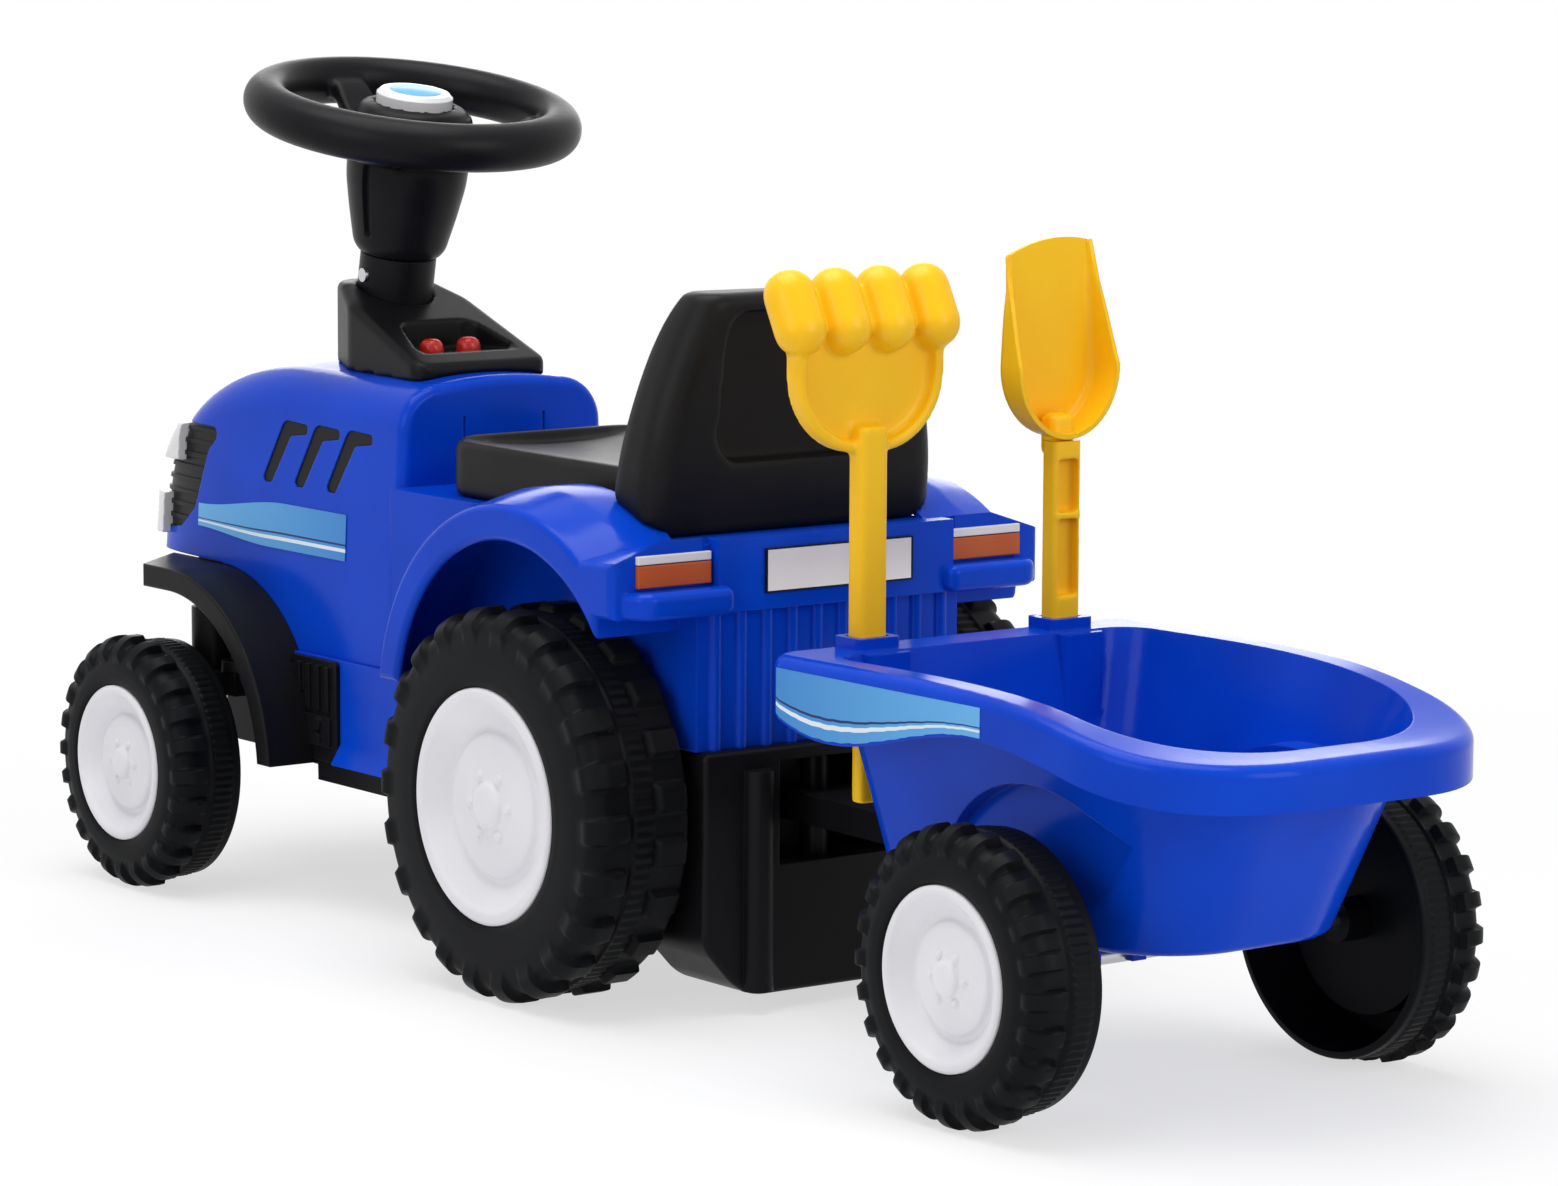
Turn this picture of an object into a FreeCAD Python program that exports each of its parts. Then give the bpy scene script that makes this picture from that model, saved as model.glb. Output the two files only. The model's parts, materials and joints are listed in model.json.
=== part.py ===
import FreeCAD, Part
import math
import os
import re

import Sketcher
from FreeCAD import Placement, Rotation, Vector

# A ride-on toy tractor with its trailer, rake and shovel. X points forward, Y to the left and Z up;
# the ground is z = 0 and y = 0 is the middle of the toy. All sizes are in millimetres.

doc = FreeCAD.newDocument("ride_on_tractor")

# Driving sizes.
SIZES = {
    "wall": (3, "wall of the moulded blue and black shells"),
    "fit_gap": (0.3, "gap between pieces that move past each other or clip together"),
    "bore_gap": (0.1, "radial running clearance of a rod in its bore"),
    "axle_radius": (4, "radius of the steel axles, kingpins and pins"),
    "cap_radius": (9, "radius of the push-on axle caps"),
    "cap_height": (4, "height of the push-on axle caps"),
    "screw_radius": (3.6, "radius of the screw heads"),
    "rear_axle_x": (10, "rear axle ahead of the middle of the toy and trailer"),
    "wheelbase": (359, "rear axle to front axle"),
    "trailer_reach": (339, "rear axle back to trailer axle"),
    "rear_wheel_radius": (95, "rear wheel over the lugs"),
    "rear_wheel_width": (56, "rear wheel from hub face to inner edge"),
    "rear_wheel_face": (141, "hub face of the rear wheels from the middle"),
    "rear_hub_radius": (57, "rear hub cap"),
    "rear_lugs": (22, "lugs in each row of a rear wheel"),
    "rear_lug_band": (22, "width of a lug row on the rear wheels"),
    "small_wheel_radius": (67, "front and trailer wheels over the lugs"),
    "small_wheel_width": (39, "small wheel from hub face to inner edge"),
    "small_wheel_face": (132, "hub face of the small wheels from the middle"),
    "small_hub_radius": (41, "hub cap of the small wheels"),
    "small_lugs": (24, "lugs of a small wheel"),
    "small_lug_band": (20, "width of the lug row on the small wheels"),
    "lug_height": (3.5, "lugs above the tread"),
    "lug_width": (8.5, "lug along the tread"),
    "tyre_wall": (3.5, "wall of the moulded wheels"),
    "shoulder_depth": (11, "axial depth of the rounded tyre shoulder"),
    "shoulder_drop": (8, "radial drop of the tyre shoulder"),
    "web_depth": (16, "hub face to the web of a wheel"),
    "tube_radius": (10, "outside of the wheel's hub tube"),
    "tube_inset": (4, "inner edge of a wheel to the end of its hub tube"),
    "hub_skin": (2.2, "wall of the hub caps"),
    "floor_height": (66, "underside of the floor pan above the ground"),
    "floor_depth": (11, "depth of the floor pan"),
    "panel_height": (54, "blue side panel from the pan to the seam below the hood"),
    "body_half_width": (70, "side panels from the middle"),
    "wheel_side_gap": (7, "inner edge of a rear wheel to the housing between them"),
    "fender_inset": (13, "outer face of the rear arches inside the hub faces"),
    "fender_crown": (7, "rise of the rear arches from their outer face to the seat"),
    "fender_shift": (2, "middle of the rear arches ahead of the rear axle"),
    "tail_lip": (13, "bumper lip behind the tail lamps"),
    "arch_lift": (33, "middle of the rear arches above the rear axle"),
    "arch_radius": (93, "inner edge of the rear arches"),
    "arch_lip": (17, "width of the lip round the rear arches"),
    "arch_round": (4, "rounding of the edges of the rear arches"),
    "deck_drop": (13, "seat deck below the top of the rear arches"),
    "tail_back": (87, "rear axle back to the fluted tail wall"),
    "tail_panel_proud": (7, "plate panel behind the fluted tail wall"),
    "tail_panel_height": (35, "height of the plate panel"),
    "flute_depth": (3, "depth of the upright flutes of the tail wall"),
    "flute_width": (7, "width of an upright flute"),
    "flute_pitch": (15, "spacing of the upright flutes"),
    "cowl_setback": (171, "front axle back to the rear face of the cowl"),
    "cowl_rise": (54, "top of the cowl above the seat deck"),
    "cowl_round": (6, "rounding of the rear edge of the cowl"),
    "hood_half_width": (67, "hood sides from the middle"),
    "hood_lean": (5, "how far the hood sides lean in at the top"),
    "hood_corner": (24, "radius of the top edges of the hood"),
    "hood_crown": (3, "crown of the hood top"),
    "nose_reach": (79, "nose ahead of the front axle"),
    "nose_fall": (78, "drop of the hood top from the cowl to the nose"),
    "nose_narrow": (13, "how far the hood sides draw in at the nose"),
    "hood_level_share": (0.45, "share of the hood's length that runs level behind the nose"),
    "lamp_proud": (4, "nose lamps outside the hood"),
    "front_arch_gap": (34, "front wheel to the outside of its arch"),
    "front_arch_skin": (4, "thickness of the front arches"),
    "front_arch_reach": (28, "outer edge of the front arches outside the kingpins"),
    "front_arch_tip": (60, "front end of the front arches ahead of the front axle"),
    "front_arch_lip": (12, "depth of the lip along the outer edge of the front arches"),
    "engine_panel_rear": (123, "front axle back to the rear edge of the engine panels"),
    "engine_panel_proud": (2.5, "engine panels outside the side panels"),
    "ledge_reach": (6, "foot ledges outside the side panels"),
    "ledge_rise": (11, "height of the foot ledges at the side panels"),
    "kingpin_inset": (21, "kingpin inside the inner edge of a front wheel"),
    "steering_arm": (26, "length of the steering arms and of the crank"),
    "boss_radius": (11, "kingpin bosses of the front subframe"),
    "subframe_half_width": (44, "front subframe between the front wheels"),
    "ring_setback": (87, "front axle back to the centre of the steering wheel"),
    "ring_rise": (130, "centre of the steering wheel above the cowl"),
    "ring_radius": (76, "steering wheel to the middle of its rim"),
    "grip_radius": (12.5, "radius of the steering wheel's rim"),
    "column_tilt": (11, "lean of the steering column in degrees"),
    "column_radius": (20, "radius of the column sleeve"),
    "steering_rod_radius": (5, "radius of the steering rod"),
    "horn_radius": (20, "radius of the horn button"),
    "horn_travel": (3, "stroke of the horn button"),
    "button_radius": (6.5, "radius of the dash buttons"),
    "button_spacing": (23, "spacing of the dash buttons"),
    "button_travel": (2, "stroke of the dash buttons"),
    "dash_half_width": (41, "half width of the dash console"),
    "dash_length": (112, "length of the dash console"),
    "dash_rise": (41, "top of the dash console above the cowl"),
    "dash_round": (4, "rounding of the edges of the dash console"),
    "seat_front": (156, "front edge of the seat ahead of the rear axle"),
    "seat_rear": (60, "rear edge of the seat behind the rear axle"),
    "seat_half_width": (65, "half width of the seat"),
    "seat_height": (29, "height of the seat over the deck"),
    "seat_dish": (6, "depth of the dished seat"),
    "back_height": (115, "top of the backrest above the deck"),
    "back_half_width": (86, "half width of the backrest at its foot"),
    "back_top_half_width": (57, "half width of the backrest at its top"),
    "tray_half_width": (50, "half width of the storage tray below the seat"),
    "tray_length": (161, "length of the storage tray"),
    "tray_wall": (2.5, "wall of the storage tray"),
    "hinge_pin_radius": (2.5, "radius of the seat's hinge pin"),
    "ear_radius": (5.5, "radius of the seat's hinge ears"),
    "ear_y": (38, "hinge ears from the middle"),
    "block_half_width": (78, "half width of the anti-tip block"),
    "block_clear": (8, "anti-tip block above the ground"),
    "block_depth": (50, "anti-tip block from front to back"),
    "block_round": (3, "rounding of the rear edges of the anti-tip block"),
    "notch_half_width": (34, "half width of the hitch notch"),
    "notch_height": (50, "height of the hitch notch"),
    "hitch_back": (76, "rear axle back to the hitch pin"),
    "hitch_lift": (28, "drawbar above the trailer axle"),
    "drawbar_half_width": (17, "half width of the drawbar"),
    "drawbar_height": (14, "height of the drawbar"),
    "hitch_pin_radius": (7, "radius of the hitch pin"),
    "tub_front": (123, "tub floor ahead of the trailer axle"),
    "tub_rear": (60, "tub floor behind the trailer axle"),
    "tub_lift": (8, "tub floor above the trailer axle"),
    "tub_half_width": (66, "half width of the tub floor"),
    "tub_depth": (113, "tub floor to the front rim"),
    "tub_flare": (26, "how far the tub sides flare out to the rim"),
    "tub_rake_front": (16, "how far the front wall leans forward"),
    "tub_rake_rear": (51, "how far the rear wall leans back"),
    "rim_width": (14, "rolled rim outside the tub walls"),
    "rim_front": (24, "rolled rim ahead of the front wall"),
    "rim_rear": (12, "rolled rim behind the rear wall"),
    "rim_drop": (19, "drop of the rim from front to rear"),
    "rim_round": (6, "rounding of the top edge of the rim"),
    "tub_round": (6, "rounding of the bottom edges of the tub"),
    "rim_corner": (74, "rear corners of the rim, seen from above"),
    "recess_gap": (13, "trailer wheel to its recess in the tub"),
    "recess_inset": (23, "inner face of the recess inside the wheel's inner edge"),
    "socket_spread": (57, "tool sockets from the middle"),
    "stem_width": (16, "width of a tool stem"),
    "stem_depth": (11, "depth of a tool stem"),
    "stem_step": (1.5, "how much slimmer a tool stem is below its shoulder"),
    "shoulder_sink": (6, "shoulder of a tool stem below the top of its socket"),
    "stem_reach": (77, "tip of a tool stem below its socket"),
    "stem_rise": (84, "foot of a tool head above its socket"),
    "rake_half_width": (41.5, "half width of the rake's palm"),
    "tine_radius": (12, "radius of the rake's tines"),
    "tine_pitch": (25.5, "spacing of the rake's tines"),
    "shovel_half_width": (26.5, "half width of the shovel"),
    "shovel_height": (92, "height of the shovel"),
    "shovel_depth": (29, "depth of the shovel's side walls"),
}

# Sizes that follow from the driving ones.
DERIVED = {
    "front_axle_x": "rear_axle_x + wheelbase",
    "trailer_axle_x": "rear_axle_x - trailer_reach",
    "sill": "floor_height + floor_depth",
    "seam": "sill + panel_height",
    "arch_top": "rear_wheel_radius + arch_lift + arch_radius",
    "fender_top": "arch_top + arch_lip",
    "fender_outer": "rear_wheel_face - fender_inset",
    "housing_half_width": "rear_wheel_face - rear_wheel_width - wheel_side_gap",
    "housing_front": "rear_axle_x + rear_wheel_radius + 11",
    "deck": "fender_top - deck_drop",
    "tail_x": "rear_axle_x - tail_back",
    "panel_x": "tail_x - tail_panel_proud",
    "panel_top": "deck + wall",
    "panel_low": "panel_top - tail_panel_height",
    "cowl_x": "front_axle_x - cowl_setback",
    "cowl_top": "deck + cowl_rise",
    "nose_x": "front_axle_x + nose_reach",
    "front_arch_radius": "small_wheel_radius + front_arch_gap",
    "front_arch_top": "small_wheel_radius + front_arch_radius",
    "front_arch_low": "small_wheel_radius + 8",
    "nose_low": "front_arch_top + 1",
    "kingpin_y": "small_wheel_face - small_wheel_width - kingpin_inset",
    "boss_low": "small_wheel_radius + 47",
    "boss_top": "boss_low + 32",
    "arm_low": "boss_low - fit_gap - 12",
    "arm_top": "boss_low - fit_gap",
    "tie_low": "arm_top + fit_gap",
    "tie_top": "tie_low + 6",
    "subframe_rear": "front_axle_x - 76",
    "subframe_top": "nose_low + 7",
    "ring_x": "front_axle_x - ring_setback",
    "ring_z": "cowl_top + ring_rise",
    "crank_drop": "(ring_z - tie_top - 11) / cos(column_tilt * 1deg)",
    "dash_top": "cowl_top + dash_rise",
    "dash_front": "ring_x + 46",
    "dash_rear": "dash_front - dash_length",
    "recess_floor": "cowl_top + 8",
    "button_x": "dash_rear + 32",
    "seat_base": "deck + fit_gap",
    "seat_top": "seat_base + seat_height",
    "seat_front_x": "rear_axle_x + seat_front",
    "seat_rear_x": "rear_axle_x - seat_rear",
    "hinge_x": "seat_front_x + 6",
    "hinge_z": "deck + 7",
    "tray_floor": "rear_wheel_radius + axle_radius + 16",
    "drawbar_mid": "small_wheel_radius + hitch_lift",
    "notch_low": "drawbar_mid - notch_height / 2",
    "notch_top": "drawbar_mid + notch_height / 2",
    "block_top": "notch_top + 7",
    "block_rear": "tail_x - 7",
    "block_front": "block_rear + block_depth",
    "tray_rear": "block_front + wall + 4",
    "tray_front": "tray_rear + tray_length",
    "hitch_x": "rear_axle_x - hitch_back",
    "tub_low": "small_wheel_radius + tub_lift",
    "rim_top": "tub_low + tub_depth",
    "tub_front_x": "trailer_axle_x + tub_front",
    "tub_rear_x": "trailer_axle_x - tub_rear",
    "rim_front_x": "tub_front_x + tub_rake_front + rim_front",
    "rim_rear_x": "tub_rear_x - tub_rake_rear - rim_rear",
    "rim_half_width": "tub_half_width + tub_flare + rim_width",
    "recess_y": "small_wheel_face - small_wheel_width - recess_inset",
    "stem_x": "rim_front_x - rim_front / 2 - 2",
    "socket_top": "rim_top + 5",
}

sheets = {}
home_sheet = {}
for sheet_name, table in (("Sizes", SIZES), ("Derived", DERIVED)):
    sheet = doc.addObject("Spreadsheet::Sheet", sheet_name)
    sheets[sheet_name] = sheet
    for alias in table:
        home_sheet[alias] = sheet_name


def qualified(text):
    """Puts the sheet's name before each size that an expression uses."""
    return re.sub(r"[a-z][a-z_]*", lambda word: ".".join(
        ([home_sheet[word.group()]] if word.group() in home_sheet else []) + [word.group()]), text)


for row, (alias, (number, note)) in enumerate(SIZES.items(), start=1):
    sheets["Sizes"].set(f"A{row}", note)
    sheets["Sizes"].set(f"B{row}", str(number))
    sheets["Sizes"].setAlias(f"B{row}", alias)
doc.recompute()
for row, (alias, formula) in enumerate(DERIVED.items(), start=1):
    sheets["Derived"].set(f"A{row}", alias)
    sheets["Derived"].set(f"B{row}", "=" + qualified(formula))
    sheets["Derived"].setAlias(f"B{row}", alias)
doc.recompute()


def value(text):
    """Number that an expression over the named sizes stands for."""
    return float(sheets["Sizes"].evalExpression(qualified(str(text))))


def bind(item, name, text):
    """Ties a property to an expression over the named sizes."""
    item.setExpression(name, qualified(str(text)))


def box(name, x_low, x_high, y_low, y_high, z_low, z_high):
    """Block between two planes along each axis."""
    block = doc.addObject("Part::Box", name)
    for length, side, low, high in (("Length", "x", x_low, x_high), ("Width", "y", y_low, y_high),
                                    ("Height", "z", z_low, z_high)):
        bind(block, length, f"({high}) - ({low})")
        bind(block, "Placement.Base." + side, low)
    return block


TURNS = {"x": Rotation(Vector(0, 1, 0), 90), "y": Rotation(Vector(1, 0, 0), -90), "z": Rotation()}


def rod(name, axis, radius, low, high, **centre):
    """Cylinder along an axis from low to high, its centre given on the other two axes."""
    bar = doc.addObject("Part::Cylinder", name)
    bar.Placement = Placement(Vector(), TURNS[axis])
    bind(bar, "Radius", radius)
    bind(bar, "Height", f"({high}) - ({low})")
    bind(bar, "Placement.Base." + axis, low)
    for side, place in centre.items():
        bind(bar, "Placement.Base." + side, place)
    return bar


def fuse(name, *pieces):
    """Joins pieces into one moulded solid."""
    joined = doc.addObject("Part::MultiFuse", name)
    joined.Shapes = list(pieces)
    joined.Refine = True
    return joined


def cut(name, base, *tools):
    """Takes tools away from a solid."""
    left = doc.addObject("Part::Cut", name)
    left.Base = base
    left.Tool = tools[0] if len(tools) == 1 else fuse(name + "_tools", *tools)
    left.Refine = True
    return left


def common(name, first, second):
    """What two solids share."""
    shared = doc.addObject("Part::Common", name)
    shared.Base = first
    shared.Tool = second
    shared.Refine = True
    return shared


def solid(name, shape):
    """Document object for a shape drawn from the named sizes."""
    item = doc.addObject("Part::Feature", name)
    item.Shape = shape
    return item


def new_sketch(body, name, role):
    """Sketch on one of the body's own origin planes."""
    sketch = body.newObject("Sketcher::SketchObject", name)
    plane = [item for item in body.Origin.OriginFeatures if item.Role == role][0]
    sketch.AttachmentSupport = (plane, [""])
    sketch.MapMode = "FlatFace"
    return sketch


def draw_outline(sketch, corners):
    """Closed outline whose corners are expressions over the named sizes."""
    spots = [(value(across), value(up)) for across, up in corners]
    for index, spot in enumerate(spots):
        after = spots[(index + 1) % len(spots)]
        sketch.addGeometry(Part.LineSegment(Vector(*spot, 0), Vector(*after, 0)))
    count = len(spots)
    for index, (across, up) in enumerate(corners):
        sketch.addConstraint(Sketcher.Constraint("Coincident", index, 2, (index + 1) % count, 1))
    for index, (across, up) in enumerate(corners):
        for kind, spot, text in (("DistanceX", spots[index][0], across), ("DistanceY", spots[index][1], up)):
            number = sketch.addConstraint(Sketcher.Constraint(kind, index, 1, spot))
            bind(sketch, f"Constraints[{number}]", text)


def slab(name, role, corners, low, high):
    """Body padded from an outline on a plane, between two heights along the plane's axis."""
    body = doc.addObject("PartDesign::Body", name)
    sketch = new_sketch(body, name + "_outline", role)
    bind(sketch, "AttachmentOffset.Base.z", f"-({high})" if role == "XZ_Plane" else low)
    draw_outline(sketch, corners)
    pad = body.newObject("PartDesign::Pad", name + "_pad")
    pad.Profile = sketch
    bind(pad, "Length", f"({high}) - ({low})")
    return body


def turned(name, corners):
    """Body turned about its own Z axis from an outline of radius and height."""
    body = doc.addObject("PartDesign::Body", name)
    sketch = new_sketch(body, name + "_section", "XZ_Plane")
    draw_outline(sketch, corners)
    spin = body.newObject("PartDesign::Revolution", name + "_turn")
    spin.Profile = sketch
    spin.ReferenceAxis = (sketch, ["V_Axis"])
    spin.Angle = 360
    return body


def around(body, name, feature, axis_sketch, count):
    """Repeats a feature around the body's turning axis."""
    pattern = body.newObject("PartDesign::PolarPattern", name)
    pattern.Originals = [feature]
    pattern.Axis = (axis_sketch, ["V_Axis"])
    pattern.Angle = 360
    bind(pattern, "Occurrences", count)
    body.Tip = pattern
    return pattern


def place(item, x="0", y="0", z="0", turn=Rotation()):
    """Puts a finished piece in its place in the toy."""
    item.Placement = Placement(Vector(), turn)
    for side, text in (("x", x), ("y", y), ("z", z)):
        bind(item, "Placement.Base." + side, text)
    return item


def rounded_outline(corners, height, plane="xy"):
    """Closed wire through corners (a, b, radius), each rounded by a tangent arc."""
    spots = [Vector(a, b, 0) for a, b, radius in corners]
    edges = []
    ends = []
    for index, (a, b, radius) in enumerate(corners):
        here = spots[index]
        back = (spots[index - 1] - here).normalize()
        ahead = (spots[(index + 1) % len(spots)] - here).normalize()
        half = back.getAngle(ahead) / 2
        run = radius / math.tan(half)
        middle = (back + ahead).normalize() * (radius / math.sin(half))
        ends.append((here + back * run, here + middle + (middle * -1).normalize() * radius, here + ahead * run))
    for index, (first, crest, last) in enumerate(ends):
        edges.append(Part.Arc(first, crest, last).toShape())
        edges.append(Part.LineSegment(last, ends[(index + 1) % len(ends)][0]).toShape())
    wire = Part.Wire(edges)
    if plane == "yz":
        wire.Placement = Placement(Vector(height, 0, 0), Rotation(Vector(1, 1, 1), 120))
    elif plane == "xz":
        wire.Placement = Placement(Vector(0, height, 0), Rotation(Vector(1, 0, 0), 90))
    else:
        wire.Placement = Placement(Vector(0, 0, height), Rotation())
    return wire


def prism(corners, low, high, plane="xy"):
    """Upright solid over a rounded outline."""
    face = Part.Face(rounded_outline(corners, low, plane))
    way = {"xy": Vector(0, 0, 1), "yz": Vector(1, 0, 0), "xz": Vector(0, 1, 0)}[plane]
    return face.extrude(way * (high - low))


def bent_rod(points, radius, bend):
    """Round rod along straight runs joined by bends."""
    runs = []
    start = points[0]
    for before, corner, after in zip(points, points[1:], points[2:]):
        back = (before - corner).normalize()
        ahead = (after - corner).normalize()
        half = back.getAngle(ahead) / 2
        run = bend / math.tan(half)
        middle = (back + ahead).normalize()
        crest = corner + middle * (bend / math.sin(half) - bend)
        runs.append(Part.LineSegment(start, corner + back * run).toShape())
        runs.append(Part.Arc(corner + back * run, crest, corner + ahead * run).toShape())
        start = corner + ahead * run
    runs.append(Part.LineSegment(start, points[-1]).toShape())
    path = Part.Wire(runs)
    ring = Part.Wire(Part.makeCircle(radius, points[0], points[1] - points[0]))
    return path.makePipeShell([ring], True, True)


pieces = {}


def keep(label, item):
    """Names a finished piece of the toy."""
    item.Label = label
    pieces[label] = item
    return item


# Wheels. Each is a black moulded cup, open on its inner side, with a web and a hub tube that runs on the
# axle. Lugs stand on the tread; the rear wheels carry a second row set half a pitch round.
LEFT = Rotation(Vector(1, 0, 0), -90)
RIGHT = Rotation(Vector(1, 0, 0), 90)


def lug_row(body, name, corners, count, half_pitch=False):
    """Row of lugs padded from their section and repeated round the tread."""
    sketch = new_sketch(body, name + "_section", "XZ_Plane")
    if half_pitch:
        sketch.AttachmentOffset = Placement(Vector(), Rotation(Vector(0, 1, 0), 180 / value(count)))
    draw_outline(sketch, corners)
    pad = body.newObject("PartDesign::Pad", name + "_pad")
    pad.Profile = sketch
    pad.SideType = "Symmetric"
    bind(pad, "Length", "lug_width")
    around(body, name, pad, sketch, count)


def make_tyre(label, kind, turn, axle_x, axle_z, side):
    tread = f"{kind}_wheel_radius - lug_height"
    inner = f"{kind}_wheel_width"
    seat = f"{kind}_hub_radius + fit_gap"
    band = f"{kind}_lug_band"
    body = turned(label + "_body", [
        (f"{tread} - tyre_wall", f"-{inner}"),
        (tread, f"-{inner}"),
        (tread, f"-{band} - 4"),
        (f"{tread} + 1.8", f"-{band} - 3.4"),
        (f"{tread} + 1.8", f"-{band} - 1.6"),
        (tread, f"-{band} - 1"),
        (tread, "-shoulder_depth"),
        (f"{tread} - shoulder_drop", "-1.5"),
        (f"{seat} + 5", "0"),
        (seat, "-1"),
        (seat, "-web_depth"),
        ("tube_radius", "-web_depth"),
        ("tube_radius", "-web_depth + 4"),
        ("axle_radius + bore_gap", "-web_depth + 4"),
        ("axle_radius + bore_gap", f"-{inner} + tube_inset"),
        ("tube_radius", f"-{inner} + tube_inset"),
        ("tube_radius", "-web_depth - tyre_wall"),
        (f"{seat} + tyre_wall", "-web_depth - tyre_wall"),
        (f"{seat} + tyre_wall", "-tyre_wall - 2"),
        (f"{tread} - shoulder_drop - 1", "-tyre_wall - 2"),
        (f"{tread} - tyre_wall", "-shoulder_depth - 2"),
    ])
    lug_row(body, label + "_lugs", [
        (f"{tread} - 2", f"-{band}"),
        (f"{kind}_wheel_radius", f"-{band}"),
        (f"{kind}_wheel_radius", "-shoulder_depth + 1.5"),
        (f"{tread} - shoulder_drop + 2", "-0.4"),
        (f"{tread} - shoulder_drop", "-4"),
        (f"{tread} - 2", "-shoulder_depth - 1"),
    ], f"{kind}_lugs")
    if kind == "rear":
        lug_row(body, label + "_inner_lugs", [
            (f"{tread} - 2", f"-{inner} + 2"),
            (f"{kind}_wheel_radius", f"-{inner} + 3"),
            (f"{kind}_wheel_radius", f"-{inner} + {band} - 2"),
            (f"{tread} - 2", f"-{inner} + {band} - 1"),
        ], f"{kind}_lugs", half_pitch=True)
    place(body, axle_x, f"{side} * {kind}_wheel_face", axle_z, turn)
    return keep(label, body)


# White hub caps: a rolled edge, a dished cone, a raised ring and a middle boss that hides the axle end.
def make_hub_cap(label, kind, turn, axle_x, axle_z, side):
    hub = f"{kind}_hub_radius"
    body = turned(label + "_body", [
        ("0", "-1.5"),
        (f"0.26 * {hub}", "-1.5"),
        (f"0.30 * {hub}", "-2.8"),
        (f"0.33 * {hub}", "-7"),
        (f"0.50 * {hub}", "-8.5"),
        (f"0.53 * {hub}", "-6.5"),
        (f"0.60 * {hub}", "-6.5"),
        (f"0.64 * {hub}", "-8.5"),
        (f"0.80 * {hub}", "-4.5"),
        (f"0.92 * {hub}", "0.6"),
        (f"{hub} - 1", "0.6"),
        (hub, "-0.4"),
        (hub, "-7"),
        (f"{hub} - hub_skin", "-7"),
        (f"{hub} - hub_skin", "-1.8"),
        (f"0.92 * {hub} - 0.6", "-1.8"),
        (f"0.80 * {hub}", "-4.5 - hub_skin"),
        (f"0.64 * {hub}", "-8.5 - hub_skin"),
        (f"0.33 * {hub} - 1", "-7.6 - hub_skin"),
        (f"0.30 * {hub} - 2", "-2.8 - hub_skin"),
        ("0", "-2.8 - hub_skin"),
    ])
    place(body, axle_x, f"{side} * {kind}_wheel_face", axle_z, turn)
    return keep(label, body)


WHEELS = (
    ("rear_left", "rear", LEFT, "rear_axle_x", "rear_wheel_radius", 1),
    ("rear_right", "rear", RIGHT, "rear_axle_x", "rear_wheel_radius", -1),
    ("front_left", "small", LEFT, "front_axle_x", "small_wheel_radius", 1),
    ("front_right", "small", RIGHT, "front_axle_x", "small_wheel_radius", -1),
    ("trailer_left", "small", LEFT, "trailer_axle_x", "small_wheel_radius", 1),
    ("trailer_right", "small", RIGHT, "trailer_axle_x", "small_wheel_radius", -1),
)
for name, kind, turn, axle_x, axle_z, side in WHEELS:
    make_tyre(name + "_tyre", kind, turn, axle_x, axle_z, side)
    make_hub_cap(name + "_hub_cap", kind, turn, axle_x, axle_z, side)


# Straight steel axles at the rear and under the trailer, with push-on caps outside the hub tubes.
def make_axle(label, face, axle_x, axle_z):
    keep(label, rod(label + "_rod", "y", "axle_radius", f"-{face} + 6", f"{face} - 6", x=axle_x, z=axle_z))


def make_axle_caps(label, face, axle_x, axle_z):
    caps = []
    for side, end in (("left", f"{face} - web_depth + 4 + fit_gap"),
                      ("right", f"-{face} + web_depth - 4 - fit_gap - cap_height")):
        disc = rod(f"{label}_{side}_disc", "y", "cap_radius", end, f"{end} + cap_height", x=axle_x, z=axle_z)
        hole = rod(f"{label}_{side}_hole", "y", "axle_radius", f"{end} - 1", f"{end} + cap_height + 1",
                   x=axle_x, z=axle_z)
        caps.append(cut(f"{label}_{side}", disc, hole))
    keep(label, fuse(label + "_pair", *caps))


make_axle("rear_axle", "rear_wheel_face", "rear_axle_x", "rear_wheel_radius")
make_axle_caps("rear_axle_caps", "rear_wheel_face", "rear_axle_x", "rear_wheel_radius")
make_axle("trailer_axle", "small_wheel_face", "trailer_axle_x", "small_wheel_radius")
make_axle_caps("trailer_axle_caps", "small_wheel_face", "trailer_axle_x", "small_wheel_radius")

# Blue rear body. One moulding: the pedestal below the seat, the housing between the rear wheels, the lower
# side panels with their foot ledges, the two wheel arches and the fluted tail wall.
front_of_panels = "front_axle_x - front_arch_radius / 2"
pedestal = slab("pedestal", "XZ_Plane", [
    ("tail_x", "block_top"),
    ("tail_x", "panel_low"),
    ("panel_x", "panel_low"),
    ("panel_x", "panel_top"),
    ("panel_x + 9", "panel_top"),
    ("panel_x + 12", "deck"),
    ("cowl_x - fit_gap", "deck"),
    ("cowl_x - fit_gap", "seam"),
    (front_of_panels, "seam"),
    (front_of_panels, "sill"),
    ("block_front + fit_gap", "sill"),
    ("block_front + fit_gap", "block_top"),
], "-body_half_width", "body_half_width")
pedestal_room = slab("pedestal_room", "XZ_Plane", [
    ("tail_x + wall", "block_top - 9"),
    ("tail_x + wall", "deck - wall"),
    ("cowl_x - fit_gap - wall", "deck - wall"),
    ("cowl_x - fit_gap - wall", "seam - wall"),
    (f"{front_of_panels} - wall", "seam - wall"),
    (f"{front_of_panels} - wall", "sill - 9"),
    ("block_front + fit_gap + wall", "sill - 9"),
    ("block_front + fit_gap + wall", "block_top - 9"),
], "-body_half_width + wall", "body_half_width - wall")
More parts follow.
